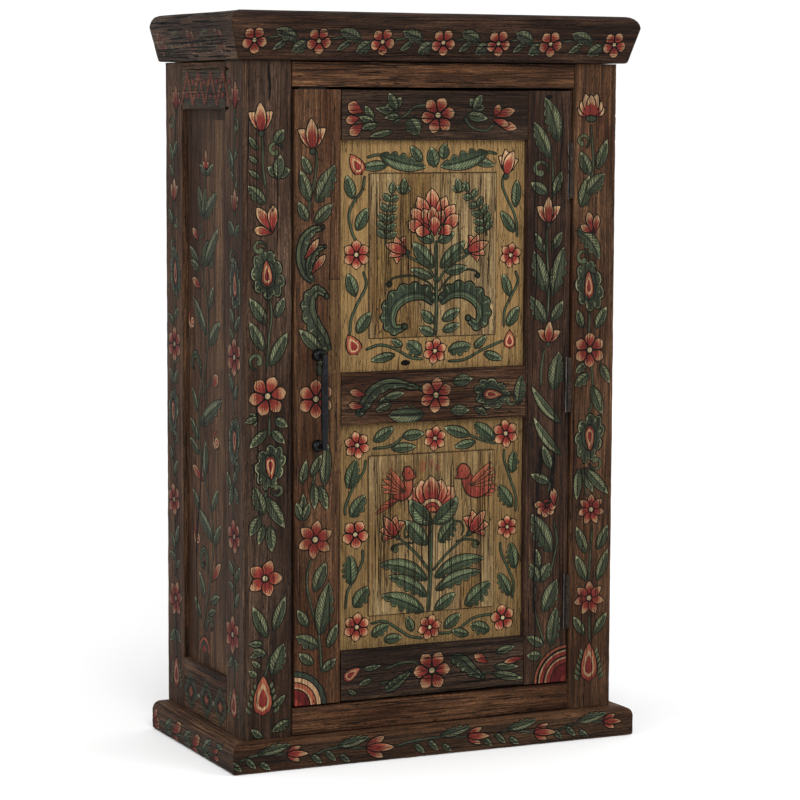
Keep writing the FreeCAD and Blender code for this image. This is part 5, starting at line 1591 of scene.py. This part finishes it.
nodeFinishes = [  # a finish and how the names of its nodes start
    (metalMaterial("waxBlackedForgedIron", blackForgedIron), ("pull_grip", "pull_foot")),
    (metalMaterial("bronzedRolledSteel", bronzedIron), ("hinge",)),
    (metalMaterial("zincPlatedSteel", zincSteel), ("catch_magnet", "strike", "back_nails", "case_screws",
                                                   "door_screws", "pull_screws")),
    (metalMaterial("mouldedBrownAbs", brownPlastic), ("catch_housing",)),
    (woodMaterial("sawnTeakAcross", bareTeak, "x"), ("shelf", "floor", "cornice_back", "plinth_back")),
    (woodMaterial("sawnTeakDeep", bareTeak, "y"), ("cleat",)),
]
for node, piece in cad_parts.items():
    finish = [material for material, starts in nodeFinishes if node.startswith(starts)]
    if piece.hide_render or not finish:
        continue
    piece.data.materials.clear()
    piece.data.materials.append(finish[0])

print("plain pieces finished")


# Stage, light and camera

studio = {  # metres
    "floorHalf": 12.0, "floorColour": "#e5e5e5", "shadeFrom": 0.8, "shadeTo": 5.0, "worldStrength": 1.05,
}


def studioPaper():
    # matt studio paper, a shade darker near the cupboard, so that its soft shadow shows
    material, add = newMaterial("mattStudioPaper")
    place = add("TexCoord", {})["Object"]
    reach = add("VectorMath", {"operation": "LENGTH", 0: place})["Value"]
    shade = add("MapRange", {"Value": reach, "From Min": studio["shadeFrom"],
                             "From Max": studio["shadeTo"]})[0]
    tone = add("ValToRGB", {"stops": [(0.0, studio["floorColour"]), (1.0, "#ffffff")], 0: shade})[0]
    add("Principled BSDF", {"Base Color": tone, "Roughness": 0.9})
    return material


floorMesh = bpy.data.meshes.new("studio_floor")
corners = [(*spot, 0) for spot in boxed(-1, 1, -1, 1) * studio["floorHalf"]]
floorMesh.from_pydata(corners, [], [(0, 1, 2, 3)])
floorMesh.materials.append(studioPaper())
floor = addObject("studio_floor", floorMesh)

world = bpy.data.worlds.new("studio")
bpy.context.scene.world = world
world.use_nodes = True
addNode(world.node_tree, "Background", {"Color": "#ffffff", "Strength": studio["worldStrength"]})

lights = {  # where, what they face, size in metres and watts
    "keyLight": ((-1.2, -4.2, 3.2), (0, 0, 0.6), 2.4, 150),
    "fillLight": ((3.0, -2.6, 2.4), (0, 0, 0.6), 2.6, 60),
    "sideLight": ((-4.2, -0.4, 2.2), (0, 0, 0.6), 2.2, 60),
}
for name, (spot, aim, size, watts) in lights.items():
    lamp = bpy.data.lights.new(name, "AREA")
    lamp.size, lamp.energy = size, watts
    holder = addObject(name, lamp)
    holder.location = spot
    holder.rotation_mode = "QUATERNION"
    holder.rotation_quaternion = (Vector(aim) - Vector(spot)).to_track_quat("-Z", "Y")

cameraPlace = {  # metres, degrees; lens and sensor in mm
    "spot": (-1.97604, -4.27205, 1.07022), "yaw": 24.938, "pitch": -6.0175, "roll": 0.225, "lens": 125.6,
    "sensor": 36.0, "farthest": 60,
}
lens = bpy.data.cameras.new("camera")
lens.lens, lens.sensor_width = cameraPlace["lens"], cameraPlace["sensor"]
lens.clip_end = cameraPlace["farthest"]
camera = addObject("camera", lens)
yaw, pitch, roll = (math.radians(cameraPlace[word]) for word in ("yaw", "pitch", "roll"))
ahead = Vector((math.sin(yaw), math.cos(yaw), 0))
rightWay = Vector((math.cos(yaw), -math.sin(yaw), 0))
forward = ahead * math.cos(pitch) + Vector((0, 0, 1)) * math.sin(pitch)
upWay = -ahead * math.sin(pitch) + Vector((0, 0, 1)) * math.cos(pitch)
rolledRight = rightWay * math.cos(roll) + upWay * math.sin(roll)
rolledUp = -rightWay * math.sin(roll) + upWay * math.cos(roll)
camera.matrix_world = Matrix.Translation(cameraPlace["spot"]) @ Matrix(
    (rolledRight, rolledUp, -forward)).transposed().to_4x4()
bpy.context.scene.camera = camera
bpy.context.scene.view_settings.view_transform = "Standard"
